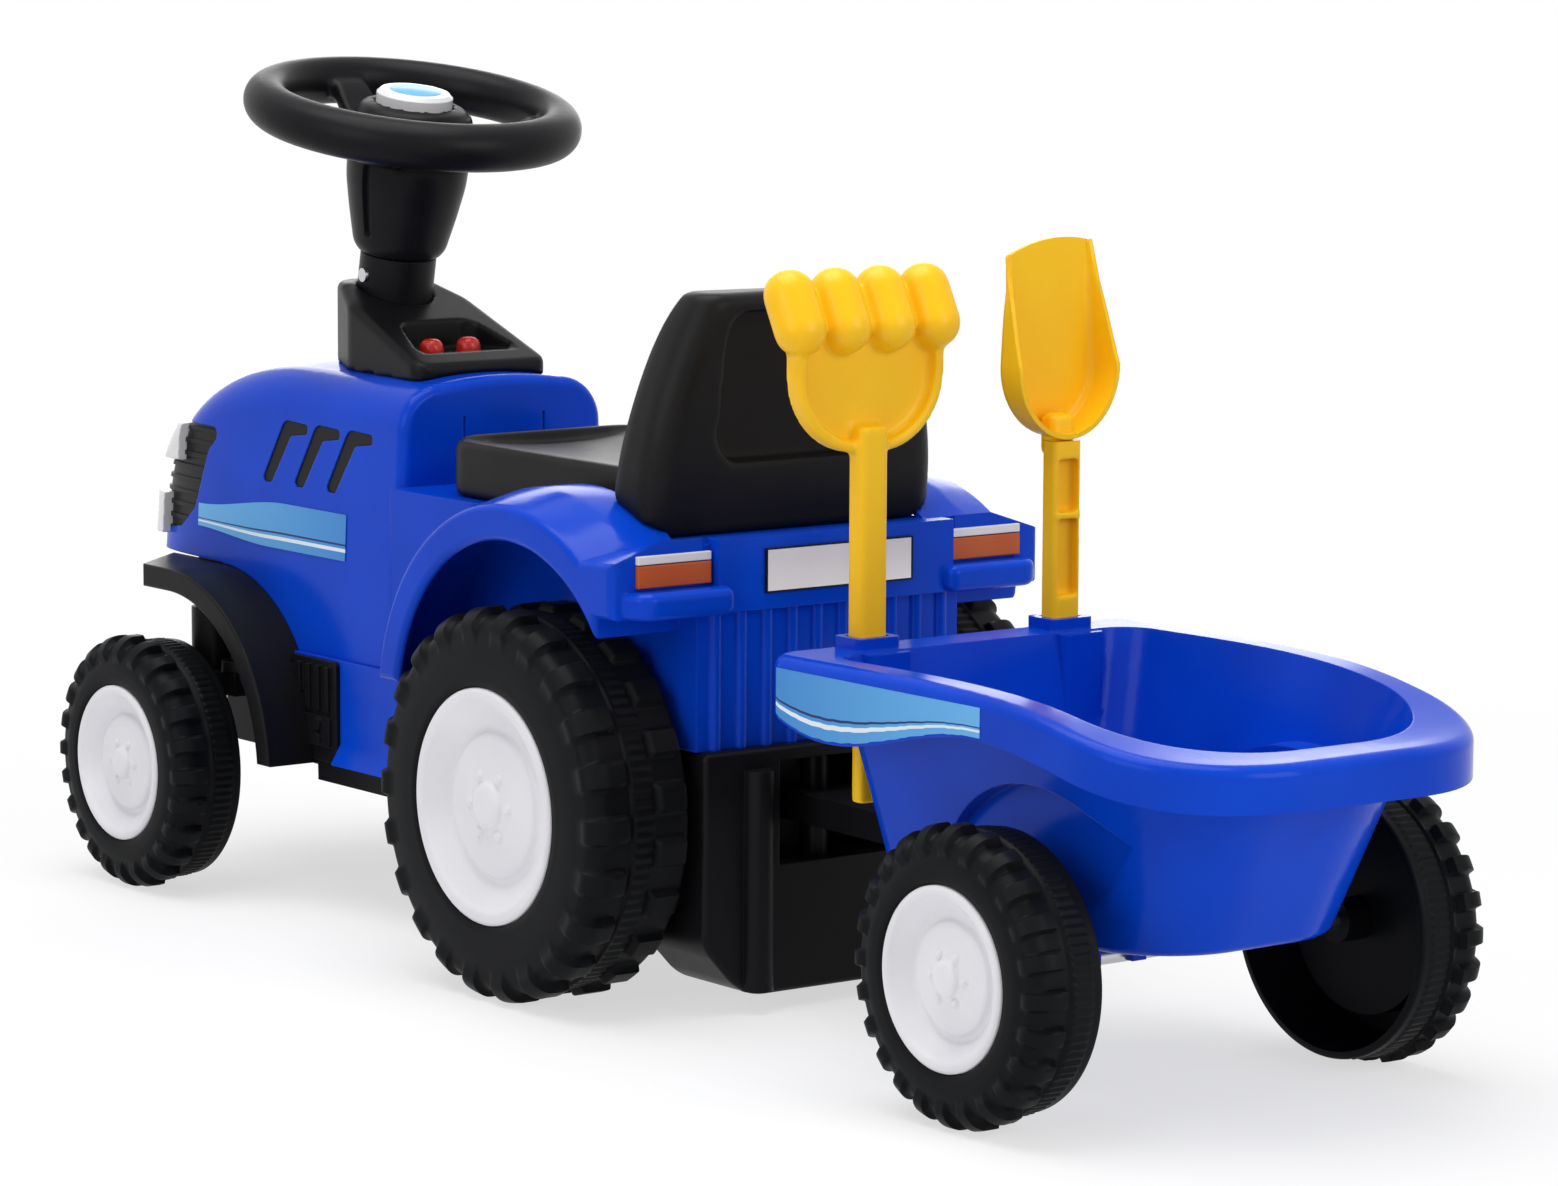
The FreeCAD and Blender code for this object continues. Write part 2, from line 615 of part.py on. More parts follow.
housing = slab("housing", "XZ_Plane", [
    ("tail_x", "block_top"),
    ("tail_x", "deck"),
    ("housing_front", "deck"),
    ("housing_front", "sill"),
    ("block_front + fit_gap", "sill"),
    ("block_front + fit_gap", "block_top"),
], "-housing_half_width", "housing_half_width")
housing_room = slab("housing_room", "XZ_Plane", [
    ("tail_x + wall", "block_top - 9"),
    ("tail_x + wall", "deck - wall"),
    ("housing_front - wall", "deck - wall"),
    ("housing_front - wall", "sill - 9"),
    ("block_front + fit_gap + wall", "sill - 9"),
    ("block_front + fit_gap + wall", "block_top - 9"),
], "-housing_half_width + wall", "housing_half_width - wall")


def arch_section(y, rise, inset):
    """Side view of a rear arch before its wheel opening is cut, raised by a rise and drawn in by an inset."""
    centre = Vector(value("rear_axle_x + fender_shift"), y, value("rear_wheel_radius + arch_lift"))
    radius = value("fender_top") - centre.z + rise - inset
    low = value("rear_wheel_radius + 47") + inset
    tail = value("tail_x - 1") + inset
    tail_top = value("panel_low + 26") + 1.4 * rise - inset
    tail_low = value("panel_low") + inset
    turn = math.radians(125)
    front = Vector(centre.x + math.sqrt(radius ** 2 - (low - centre.z) ** 2), y, low)
    back = centre + Vector(radius * math.cos(turn), 0, radius * math.sin(turn))
    corners = [back, Vector(tail, y, tail_top), Vector(tail, y, tail_low), Vector(tail + 14, y, tail_low),
               Vector(tail + 20, y, low), front]
    edges = [Part.Arc(front, centre + Vector(0, 0, radius), back).toShape()]
    edges += [Part.LineSegment(first, last).toShape() for first, last in zip(corners, corners[1:])]
    return Part.Wire(edges)


def arch_solid(outer, shelf, inner, inset):
    """Rear arch from its outer face up to its crown and level from there to the seat."""
    crown = value("fender_crown")
    slope = Part.makeLoft([arch_section(outer, 0, inset), arch_section(shelf, crown, inset)], True, True)
    level = Part.Face(arch_section(shelf, crown, inset)).extrude(Vector(0, inner - shelf, 0))
    return slope.fuse(level).removeSplitter()


def wheel_opening(low, high):
    """Round wheel opening of a rear arch, open below."""
    middle = Vector(value("rear_axle_x + fender_shift"), 0, value("rear_wheel_radius + arch_lift"))
    radius = value("arch_top") - middle.z
    drum = Part.makeCylinder(radius, high - low, middle + Vector(0, low, 0), Vector(0, 1, 0))
    below = Part.makeBox(2 * radius, high - low, radius, middle + Vector(-radius, low, -radius))
    return drum.fuse(below)


arch_inner = value("housing_half_width - wall")
arch_outer = value("fender_outer")
arch_shelf = arch_outer - 30
skin = value("wall")
left_arch = arch_solid(arch_outer, arch_shelf, arch_inner, 0)
left_arch = left_arch.cut(wheel_opening(arch_inner - 1, arch_outer + 1))
left_arch = max(left_arch.Solids, key=lambda piece: piece.Volume)
outer_edges = [edge for edge in left_arch.Edges if edge.BoundBox.YMin > arch_outer - 0.01]
left_arch = left_arch.makeFillet(value("arch_round"), outer_edges)
left_arch = left_arch.cut(arch_solid(arch_outer - skin, arch_shelf, arch_inner - 1, skin))
left_arch = max(left_arch.Solids, key=lambda piece: piece.Volume)
lip_back = value("tail_x - 1 - tail_lip")
lip_low = value("panel_low")
tail_lip = prism([(lip_back, arch_outer - 64, 5), (lip_back, arch_outer - 12, 10), (lip_back + 26, arch_outer, 10),
                  (lip_back + 26, arch_outer - 64, 5)], lip_low, lip_low + 13)
level_edges = [edge for edge in tail_lip.Edges if edge.BoundBox.ZLength < 0.01]
tail_lip = tail_lip.makeFillet(value("arch_round"), level_edges)
left_arch = left_arch.fuse(tail_lip.cut(wheel_opening(arch_inner - 60, arch_outer + 1))).removeSplitter()
arches = [solid("left_arch", left_arch), solid("right_arch", left_arch.mirror(Vector(), Vector(0, 1, 0)))]

engine_panel_x = "front_axle_x - engine_panel_rear"
ledges = [slab(f"ledge_{name}", "YZ_Plane", [
    (f"{side} * (body_half_width - wall)", "sill"),
    (f"{side} * (body_half_width + ledge_reach)", "sill"),
    (f"{side} * (body_half_width + ledge_reach)", "sill + 1"),
    (f"{side} * body_half_width", "sill + ledge_rise"),
    (f"{side} * (body_half_width - wall)", "sill + ledge_rise"),
], "housing_front + 20", f"{engine_panel_x} - fit_gap") for name, side in (("left", 1), ("right", -1))]
flutes = []
for index in range(5):
    for side in (1, -1):
        middle = f"{side} * flute_pitch * {index + 0.5}"
        flutes.append(rod(f"flute_{index}_{side}", "z", "flute_width / 2", "block_top", "panel_low",
                          x="tail_x - flute_depth + flute_width / 2", y=middle))


def front_well(inset, near, far):
    """Room under a front arch: a quarter round behind the axle, level from there to the tip."""
    centre = Vector(value("front_axle_x"), near, value("small_wheel_radius"))
    radius = value("front_arch_radius") - inset
    low = value("front_arch_low")
    tip = value("front_axle_x + front_arch_tip") + 1
    back = centre + Vector(-math.sqrt(radius ** 2 - (low - centre.z) ** 2), 0, low - centre.z)
    crest = centre + Vector(0, 0, radius)
    middle = centre + Vector(-math.sqrt(0.5), 0, math.sqrt(0.5)) * radius
    corners = [crest, Vector(tip, near, crest.z), Vector(tip, near, low), back]
    edges = [Part.Arc(back, middle, crest).toShape()]
    edges += [Part.LineSegment(first, last).toShape() for first, last in zip(corners, corners[1:])]
    return Part.Face(Part.Wire(edges)).extrude(Vector(0, far - near, 0))


ears = []
for side in (1, -1):
    ears.append(box(f"hinge_ear_{side}", "hinge_x - ear_radius", "hinge_x + ear_radius", f"{side} * ear_y - 4",
                    f"{side} * ear_y + 4", "deck - 1", "hinge_z"))
    ears.append(rod(f"hinge_eye_{side}", "y", "ear_radius", f"{side} * ear_y - 4", f"{side} * ear_y + 4",
                    x="hinge_x", z="hinge_z"))
body_shell = fuse("body_shell", pedestal, housing, *arches, *ledges, *flutes, *ears)
body_cuts = [
    pedestal_room,
    housing_room,
    box("tray_hole", "tray_rear", "tray_front", "-tray_half_width", "tray_half_width", "deck - 9", "deck + 1"),
    rod("axle_bore", "y", "axle_radius + bore_gap", "-housing_half_width - 1", "housing_half_width + 1",
        x="rear_axle_x", z="rear_wheel_radius"),
    solid("body_wells", front_well(-value("fit_gap"), -value("rear_wheel_face"), value("rear_wheel_face"))),
    rod("hinge_bore", "y", "hinge_pin_radius", "-ear_y - 9", "ear_y + 9", x="hinge_x", z="hinge_z"),
]
keep("main_body", cut("rear_body", body_shell, *body_cuts))

# Tail fittings: white lamps over orange ones on the tail faces, and a bare white number plate.
tail_face = "tail_x - 1"
for label, low, high in (("tail_lamps_white", "panel_low + 25.5", "panel_low + 29.5"),
                         ("tail_lamps_orange", "panel_low + 14.5", "panel_low + 25")):
    lamps = [box(f"{label}_{side}", f"{tail_face} - 2.5", tail_face, low_y, high_y, low, high)
             for side, low_y, high_y in (("left", "fender_outer - 56", "fender_outer - 14"),
                                         ("right", "-fender_outer + 14", "-fender_outer + 56"))]
    keep(label, fuse(label + "_pair", *lamps))
keep("number_plate", box("plate", "panel_x - 2", "panel_x", "-43.5", "43.5",
                         "panel_low + 8", "panel_low + 29"))

# Black storage tray hanging in the deck below the seat.
tray = box("tray_outside", "tray_rear + fit_gap", "tray_front - fit_gap", "-tray_half_width + fit_gap",
           "tray_half_width - fit_gap", "tray_floor", "deck")
tray_room = box("tray_inside", "tray_rear + fit_gap + tray_wall", "tray_front - fit_gap - tray_wall",
                "-tray_half_width + fit_gap + tray_wall", "tray_half_width - fit_gap - tray_wall",
                "tray_floor + tray_wall", "deck + 1")
keep("storage_tray", cut("tray", tray, tray_room))

# Black floor pan that closes the underside, with saddles that carry the rear axle.
pan = box("pan_outside", "block_front + fit_gap", front_of_panels, "-body_half_width", "body_half_width",
          "floor_height", "sill")
pan_room = box("pan_inside", "block_front + fit_gap + wall", f"{front_of_panels} - wall",
               "-body_half_width + wall", "body_half_width - wall", "floor_height + wall", "sill + 1")
pan_arch = rod("pan_arch", "y", "front_arch_radius + fit_gap", "-rear_wheel_face", "rear_wheel_face",
               x="front_axle_x", z="small_wheel_radius")
pan_tongue = box("pan_tongue", f"{front_of_panels} - 50", "subframe_rear + 50", "-subframe_half_width",
                 "subframe_half_width", "floor_height", "floor_height + wall")
saddles = [box(f"saddle_{side}", "rear_axle_x - 10", "rear_axle_x + 10", f"{side} * 58 - 4", f"{side} * 58 + 4",
               "floor_height + 1", "rear_wheel_radius + axle_radius + 6") for side in (1, -1)]
pan_shell = fuse("pan_shell", cut("pan_tray", pan, pan_room, pan_arch), pan_tongue, *saddles)
saddle_bore = rod("saddle_bore", "y", "axle_radius + bore_gap", "-body_half_width", "body_half_width",
                  x="rear_axle_x", z="rear_wheel_radius")
keep("floor_pan", cut("pan", pan_shell, saddle_bore))

# Black anti-tip block below the tail: a broad foot rounded at the ground, with upright half-round ribs and the
# notch that takes the drawbar.
block_half = value("block_half_width")
block_low = value("block_clear")
block_outline = [
    (-block_half, value("block_top"), 4), (-block_half, block_low + 26, 20), (-block_half + 24, block_low, 30),
    (block_half - 24, block_low, 30), (block_half, block_low + 26, 20), (block_half, value("block_top"), 4),
]
block_shape = prism(block_outline, value("block_rear"), value("block_front"), "yz")
rear_edges = [edge for edge in block_shape.Edges if edge.BoundBox.XMax < value("block_rear") + 0.01]
block_shape = block_shape.makeFillet(value("block_round"), rear_edges)
block_solid = solid("block_solid", block_shape)
block_ribs = [rod(f"block_rib_{side}", "z", "8", "block_clear + 3", "notch_top - 3", x="block_rear",
                  y=f"{side} * (notch_half_width + 13)") for side in (1, -1)]
notch = box("hitch_notch", "block_rear - 20", "hitch_x + drawbar_half_width + 6", "-notch_half_width",
            "notch_half_width", "notch_low", "notch_top")
block_room = box("block_room", "block_rear + 12", "block_front + 1", "-block_half_width + 6",
                 "block_half_width - 6", "block_clear + 40", "notch_low - 4")
pin_bore = rod("hitch_bore", "z", "hitch_pin_radius", "notch_low - 8", "block_top + 1", x="hitch_x", y="0")
block_body = fuse("block_body", block_solid, *block_ribs)
keep("anti_tip_block", cut("anti_tip", block_body, notch, block_room, pin_bore))
keep("hitch_pin", rod("hitch_pin_rod", "z", "hitch_pin_radius", "notch_low - 8", "block_top",
                      x="hitch_x", y="0"))


# Blue hood and cowl: one thin shell lofted through cross sections from the cowl to the rounded nose.
def hood_section(x, width, top, inset, drop=0):
    """Cross section of the hood: leaning sides, rounded top corners and a crowned top."""
    low = value("seam") - drop
    foot = width - inset
    shoulder = width - value("hood_lean") - inset
    corner = value("hood_corner") - inset
    crest = top - inset
    side_end = Vector(x, shoulder, crest - corner)
    mid_corner = Vector(x, shoulder - corner * (1 - math.sqrt(0.5)), crest - corner * (1 - math.sqrt(0.5)))
    top_end = Vector(x, shoulder - corner, crest)
    crown = Vector(x, 0, crest + value("hood_crown"))

    def other(point):
        return Vector(point.x, -point.y, point.z)

    foot_left = Vector(x, foot, low)
    edges = [
        Part.LineSegment(foot_left, side_end).toShape(),
        Part.Arc(side_end, mid_corner, top_end).toShape(),
        Part.Arc(top_end, crown, other(top_end)).toShape(),
        Part.Arc(other(top_end), other(mid_corner), other(side_end)).toShape(),
        Part.LineSegment(other(side_end), other(foot_left)).toShape(),
        Part.LineSegment(other(foot_left), foot_left).toShape(),
    ]
    return Part.Wire(edges)


def hood_solid(inset, drop=0):
    """Hood block, drawn in by an inset."""
    cowl = value("cowl_x") + inset
    nose = value("nose_x") - inset
    length = nose - cowl
    width = value("hood_half_width")
    crest = value("cowl_top") - value("hood_crown")
    level = value("hood_level_share")
    sections = []
    for share in (0, level / 3, level * 2 / 3, level, 0.55, 0.65, 0.75, 0.85, 0.93, 1):
        along = max(0, (share - level) / (1 - level))
        fall = value("nose_fall") * (1 - math.sqrt(1 - along ** 2.3))
        narrow = value("nose_narrow") * (1 - math.sqrt(1 - along ** 4))
        sections.append(hood_section(cowl + share * length, width - narrow, crest - fall, inset, drop))
    return Part.makeLoft(sections, True, False, False, 3)


hood_outside = hood_solid(0)
cowl_edges = [edge for edge in hood_outside.Edges
              if edge.BoundBox.XMax < value("cowl_x") + 0.01 and edge.BoundBox.ZMax > value("seam") + 1]
hood_outside = hood_outside.makeFillet(value("cowl_round"), cowl_edges)
wheel_well = front_well(-value("fit_gap"), -value("rear_wheel_face"), value("rear_wheel_face"))
below_nose = Part.makeBox(200, 400, 200, Vector(value("front_axle_x"), -200, value("nose_low") - 200))
hood_shape = hood_outside.cut([hood_solid(value("wall"), 9), wheel_well, below_nose])
tilt = math.radians(value("column_tilt"))
ring_centre = Vector(value("ring_x"), 0, value("ring_z"))
column_axis = Vector(-math.sin(tilt), 0, math.cos(tilt))


def along_column(radius, low, high):
    """Cylinder along the leaning steering column, measured from the centre of the steering wheel."""
    return Part.makeCylinder(radius, high - low, ring_centre + column_axis * low, column_axis)


hood_shape = hood_shape.cut(along_column(value("column_radius") + 3, -value("crank_drop"), -60))
sound_window = Part.makeBox(54, 62, 30, Vector(value("button_x") - 23, -31, value("cowl_top") - 20))
hood_shape = hood_shape.cut(sound_window)
for side in (1, -1):
    crease_corner = Vector(value("cowl_x") - 0.1, side * 24.4 - 0.8, value("cowl_top") - 130)
    crease = Part.makeBox(1.2, 1.6, 110, crease_corner)
    hood_shape = hood_shape.cut(crease)


# Slanted vents in the hood sides, three a side, each a dark insert sunk into the blue shell.
def vent_bar(x, side):
    """One slanted vent whose head hooks back."""
    top = value("cowl_top") - 30
    corners = [(x - 8, top, 2), (x - 8, top - 5, 2), (x + 8, top - 7, 5), (x + 26, top - 33, 2.5),
               (x + 36, top - 33, 2.5), (x + 15, top + 1, 8)]
    reach = value("hood_half_width")
    near, far = (reach - 9, reach + 6) if side > 0 else (-reach - 6, -reach + 9)
    return prism(corners, near, far, "xz")


vent_start = value("cowl_x") + 36
vent_slots = [vent_bar(vent_start + 31 * index, side) for index in range(3) for side in (1, -1)]
hood_skin = hood_outside.cut(hood_solid(value("wall") - 1.2, 9))
vent_slots = [slot.common(hood_skin) for slot in vent_slots]
keep("hood_vents", solid("vent_inserts", Part.makeCompound([
    slot.common(hood_solid(0.6, 9)) for slot in vent_slots])))

# Black nose grille with bars, side grilles that wrap round the nose, and white lamps that stand proud of its
# corners.
nose_x = value("nose_x")
nose_low = value("nose_low")
lamp_proud = value("lamp_proud")
nose_side = value("hood_half_width")


def mirrored(shape):
    """The same piece on the other side of the toy."""
    return shape.mirror(Vector(), Vector(0, 1, 0))


grille_panel = prism([(-30, nose_low + 6, 4), (30, nose_low + 6, 4), (34, nose_low + 40, 4),
                      (-34, nose_low + 40, 4)], nose_x - 16, nose_x + lamp_proud, "yz")
low_lamp = prism([(38, nose_low + 9, 5), (nose_side, nose_low + 9, 5), (nose_side, nose_low + 31, 7),
                  (40, nose_low + 31, 7)], nose_x - 14, nose_x + lamp_proud, "yz")
head_lamp = prism([(34, nose_low + 50, 6), (nose_side, nose_low + 50, 6), (nose_side, nose_low + 70, 8),
                   (36, nose_low + 70, 8)], nose_x - 32, nose_x + lamp_proud, "yz")
side_grille = prism([(nose_x - 76, nose_low + 71, 4), (nose_x - 60, nose_low + 58, 9),
                     (nose_x - 47, nose_low + 26, 9), (nose_x - 32, nose_low + 15, 6),
                     (nose_x + 6, nose_low + 8, 4), (nose_x + 6, nose_low + 71, 4)],
                    nose_side - 22, nose_side + 6, "xz")
nose_skin = hood_outside.cut(hood_solid(value("wall") - 1, 9))
lamp_skin = hood_solid(-lamp_proud).cut(hood_solid(value("wall") - 1, 9))
low_lamp = low_lamp.common(lamp_skin)
head_lamp = head_lamp.common(lamp_skin)
grille_seat = grille_panel.common(nose_skin)
side_seat = side_grille.common(nose_skin).cut([low_lamp, head_lamp])
side_seat = max(side_seat.Solids, key=lambda piece: piece.Volume)
bar_pitch = 7
bars = [Part.makeBox(100, 200, 2.4, Vector(nose_x - 90, -100, nose_low + 11 + bar_pitch * index))
        for index in range(9)]


def barred(seat):
    """Panel sunk below the hood with level bars that reach its surface."""
    return seat.common(hood_solid(0.9, 9)).fuse([bar.common(seat) for bar in bars]).removeSplitter()


keep("grille", solid("grille_panel", barred(grille_seat)))
side_panel = barred(side_seat)
keep("side_grilles", solid("side_grille_pair", Part.makeCompound([side_panel, mirrored(side_panel)])))
keep("low_lamps", solid("low_lamp_pair", Part.makeCompound([low_lamp, mirrored(low_lamp)])))
keep("head_lamps", solid("head_lamp_pair", Part.makeCompound([head_lamp, mirrored(head_lamp)])))
nose_seats = [grille_seat]
for seat in (side_seat, low_lamp, head_lamp):
    nose_seats += [seat, mirrored(seat)]
keep("hood", solid("hood_panel", hood_shape.cut(vent_slots + nose_seats)))


# Black front arches: curved mudguards round the front wheels, held against the hood and side panels. Each has
# a deep lip along its outer edge and a front end that is cut back toward that edge.
def make_front_arch(label, side):
    inner = value("kingpin_y") - 10
    outer = value("kingpin_y + front_arch_reach")
    arch = front_well(0, inner, outer).cut(front_well(value("front_arch_skin"), inner - 1, outer + 1))
    lip = front_well(0, outer - value("wall"), outer)
    lip = lip.cut(front_well(value("front_arch_lip"), inner, outer + 1))
    tip = value("front_axle_x + front_arch_tip")
    slant = prism([(tip, inner - 5, 1), (tip - 40, outer + 5, 1), (tip + 40, outer + 5, 1),
                   (tip + 40, inner - 5, 1)], value("sill"), value("nose_low") + 20)
    arch = arch.fuse(lip).cut(slant).removeSplitter()
    edges = [edge for edge in arch.Edges if min(vertex.Point.y for vertex in edge.Vertexes) > outer - 0.01]
    arch = arch.makeFillet(value("wall") / 2 - 0.2, edges)
    keep(label, solid(label + "_guard", arch if side > 0 else mirrored(arch)))


make_front_arch("front_arch_left", 1)
make_front_arch("front_arch_right", -1)


# Black engine panels on the sides behind the front arches: upright fins over a square cover with two studs.
def make_engine_panels(label):
    rear = value(engine_panel_x)
    front = value(front_of_panels)
    face = value("body_half_width")
    proud = face + value("engine_panel_proud")
    low = value("sill")
    high = value("seam") - 1
    panel = prism([(rear, low, 1), (rear, high, 3), (front, high, 1), (front, low, 1)], face, proud, "xz")
    fins = [Part.makeBox(4, 2, high - low - 30, Vector(rear + 5 + 9 * index, proud, low + 27))
            for index in range(6)]
    cover = prism([(rear + 4, low + 8, 2), (rear + 4, low + 24, 2), (rear + 40, low + 24, 2),
                   (rear + 40, low + 8, 2)], proud - 1, proud + 2, "xz")
    studs = [Part.makeCylinder(3.5, 3, Vector(rear + 14, proud + 1, low + up), Vector(0, 1, 0))
             for up in (12, 20)]
    well = front_well(-value("fit_gap"), 0, 2 * face)
    panel = panel.fuse(fins + [cover] + studs).cut(well).removeSplitter()
    panel = max(panel.Solids, key=lambda piece: piece.Volume)
    keep(label, solid(label + "_pair", Part.makeCompound([panel, mirrored(panel)])))


make_engine_panels("engine_panels")

# Black front subframe between the front wheels. It carries the upright kingpin bosses, lets the tie rod through
# its sides and guides the foot of the steering rod.
frame_outside = slab("subframe_outside", "XZ_Plane", [
    ("subframe_rear", "floor_height + wall"),
    ("subframe_rear", "boss_top"),
    ("subframe_rear + 30", "subframe_top"),
    ("nose_x - 22", "subframe_top"),
    ("nose_x - 16", "nose_low - 17"),
    ("nose_x - 32", "nose_low - 43"),
    ("front_axle_x + 22", "floor_height + wall"),
], "-subframe_half_width", "subframe_half_width")
frame_room = slab("subframe_room", "XZ_Plane", [
    ("subframe_rear + wall", "floor_height - 9"),
    ("subframe_rear + wall", "boss_top"),
    ("subframe_rear + 30 + wall", "subframe_top - wall"),
    ("nose_x - 22 - wall", "subframe_top - wall"),
    ("nose_x - 16 - wall", "nose_low - 17"),
    ("nose_x - 32 - wall", "nose_low - 43"),
    ("front_axle_x + 22 - wall", "floor_height - 9"),
], "-subframe_half_width + wall", "subframe_half_width - wall")
tie_window = box("tie_window", "subframe_rear + 6", "front_axle_x - 13", "-subframe_half_width - 1",
                 "subframe_half_width + 1", "tie_low - 5", "tie_top + 5")
frame_parts = [cut("subframe_box", frame_outside, frame_room, tie_window)]
kingpin_bores = []
for side in (1, -1):
    frame_parts.append(rod(f"kingpin_boss_{side}", "z", "boss_radius", "boss_low", "boss_top", x="front_axle_x",
                           y=f"{side} * kingpin_y"))
    ends = ("subframe_half_width - 1", "kingpin_y") if side > 0 else ("-kingpin_y", "-subframe_half_width + 1")
    frame_parts.append(box(f"kingpin_arm_{side}", "front_axle_x - boss_radius", "front_axle_x + boss_radius",
                           ends[0], ends[1], "boss_low + 8", "boss_top"))
    kingpin_bores.append(rod(f"kingpin_bore_{side}", "z", "axle_radius + bore_gap", "boss_low - 1", "boss_top + 1",
                             x="front_axle_x", y=f"{side} * kingpin_y"))
rod_bore_foot = -value("crank_drop") + 20
rod_bore = solid("rod_bore", along_column(value("steering_rod_radius + bore_gap"), rod_bore_foot, -60))
keep("front_subframe", cut("subframe", fuse("subframe_body", *frame_parts), *kingpin_bores, rod_bore))


# Kingpins: steel rods bent to an L, upright in the subframe bosses and level through the front wheels. Plastic
# steering arms clamp on them and push-on caps keep the rods and wheels in place.
def make_knuckle(name, side):
    x = value("front_axle_x")
    z = value("small_wheel_radius")
    y = side * value("kingpin_y")
    end = side * value("small_wheel_face - 6")
    path = [Vector(x, y, value("boss_top + fit_gap + cap_height")), Vector(x, y, z), Vector(x, end, z)]
    keep(name + "_kingpin", solid(name + "_kingpin_rod", bent_rod(path, value("axle_radius"), 9)))
    middle = f"{side} * kingpin_y"
    pin_x = "front_axle_x - steering_arm"
    plate = slab(name + "_arm_plate", "XY_Plane", [
        ("front_axle_x + 10", f"{middle} - 7"),
        ("front_axle_x + 10", f"{middle} + 7"),
        ("front_axle_x - 4", f"{middle} + 9"),
        (f"{pin_x} - 8", f"{middle} + 7"),
        (f"{pin_x} - 8", f"{middle} - 7"),
        ("front_axle_x - 4", f"{middle} - 9"),
    ], "arm_low", "arm_top")
    pin = rod(name + "_arm_pin", "z", "axle_radius", "arm_low", "tie_top + 3", x=pin_x, y=middle)
    bore = rod(name + "_arm_bore", "z", "axle_radius", "arm_low - 1", "arm_top + 1", x="front_axle_x", y=middle)
    keep(name + "_steering_arm", cut(name + "_arm", fuse(name + "_arm_body", plate, pin), bore))
    top_cap = rod(name + "_top_cap", "z", "cap_radius", "boss_top + fit_gap",
                  "boss_top + fit_gap + cap_height + 1", x="front_axle_x", y=middle)
    low = "small_wheel_face - web_depth + 4 + fit_gap"
    ends = (low, f"{low} + cap_height") if side > 0 else (f"-({low} + cap_height)", f"-({low})")
    end_cap = rod(name + "_end_cap", "y", "cap_radius", ends[0], ends[1],
                  x="front_axle_x", z="small_wheel_radius")
    top_hole = rod(name + "_top_hole", "z", "axle_radius", "boss_top", "boss_top + fit_gap + cap_height",
                   x="front_axle_x", y=middle)
    end_hole = rod(name + "_end_hole", "y", "axle_radius", f"{ends[0]} - 1", f"{ends[1]} + 1", x="front_axle_x",
                   z="small_wheel_radius")
    keep(name + "_kingpin_caps", fuse(name + "_caps", cut(name + "_cap_up", top_cap, top_hole),
                                      cut(name + "_cap_out", end_cap, end_hole)))


make_knuckle("left", 1)
make_knuckle("right", -1)

# Tie rod: a flat bar between the steering arms with a tongue whose slot takes the crank of the steering rod.
crank = value("crank_drop")
arm = value("steering_arm")
crank_pin = ring_centre + column_axis * (-crank - 9) + Vector(-math.cos(tilt), 0, -math.sin(tilt)) * arm
pin_line = value("front_axle_x - steering_arm")
tie_bar = box("tie_bar", "front_axle_x - steering_arm - 6.5", "front_axle_x - steering_arm + 6.5", "-kingpin_y",
              "kingpin_y", "tie_low", "tie_top")
tie_parts = [tie_bar]
tie_holes = []
for side in (1, -1):
    tie_parts.append(rod(f"tie_end_{side}", "z", "9", "tie_low", "tie_top", x="front_axle_x - steering_arm",
                         y=f"{side} * kingpin_y"))
    tie_holes.append(rod(f"tie_hole_{side}", "z", "axle_radius + bore_gap", "tie_low - 1", "tie_top + 1",
                         x="front_axle_x - steering_arm", y=f"{side} * kingpin_y"))
slot_half = value("axle_radius") + 0.6
tongue_corners = [(crank_pin.x - 11, -12, 4), (pin_line + 3, -16, 1), (pin_line + 3, 16, 1),
                  (crank_pin.x - 11, 12, 4)]
slot_corners = [(crank_pin.x - 7, -slot_half, slot_half - 0.1), (crank_pin.x + 8, -slot_half, slot_half - 0.1),
                (crank_pin.x + 8, slot_half, slot_half - 0.1), (crank_pin.x - 7, slot_half, slot_half - 0.1)]
tie_parts.append(solid("tie_tongue", prism(tongue_corners, value("tie_low"), value("tie_top"))))
tie_holes.append(solid("tie_slot", prism(slot_corners, value("tie_low") - 1, value("tie_top") + 1)))
keep("tie_rod", cut("tie", fuse("tie_body", *tie_parts), *tie_holes))

# Steering: a steel rod with a crank at its foot, a black sleeve, a tapered boss and the three-spoke wheel, all
# built upright about the centre of the wheel and then leaned back together.
LEAN = Rotation(Vector(0, 1, 0), -value("column_tilt"))


def lean(item):
    """Leans a steering piece back and puts it on the column."""
    return place(item, "ring_x", "0", "ring_z", LEAN)


rod_path = [Vector(0, 0, -16), Vector(0, 0, -crank), Vector(-arm, 0, -crank), Vector(-arm, 0, -crank - 17)]
steering_rod = solid("steering_rod_bar", bent_rod(rod_path, value("axle_radius"), 7))
steering_rod.Shape = steering_rod.Shape.fuse(Part.makeCylinder(
    value("steering_rod_radius"), crank - 36, Vector(0, 0, -crank + 20))).removeSplitter()
keep("steering_rod", lean(steering_rod))

sleeve_tube = turned("sleeve_tube", [
    ("steering_rod_radius", "-114"),
    ("column_radius", "-114"),
    ("column_radius", "-75"),
    ("steering_rod_radius", "-75"),
])
keep("column_sleeve", lean(sleeve_tube))
screw_head = Part.makeCylinder(value("screw_radius"), 3, Vector(0, value("column_radius") - 1.4, -86),
                               Vector(0, 1, 0))
screw_head = screw_head.cut(Part.makeCylinder(value("column_radius"), 40, Vector(0, 0, -110)))
keep("column_screw", lean(solid("sleeve_screw", screw_head)))

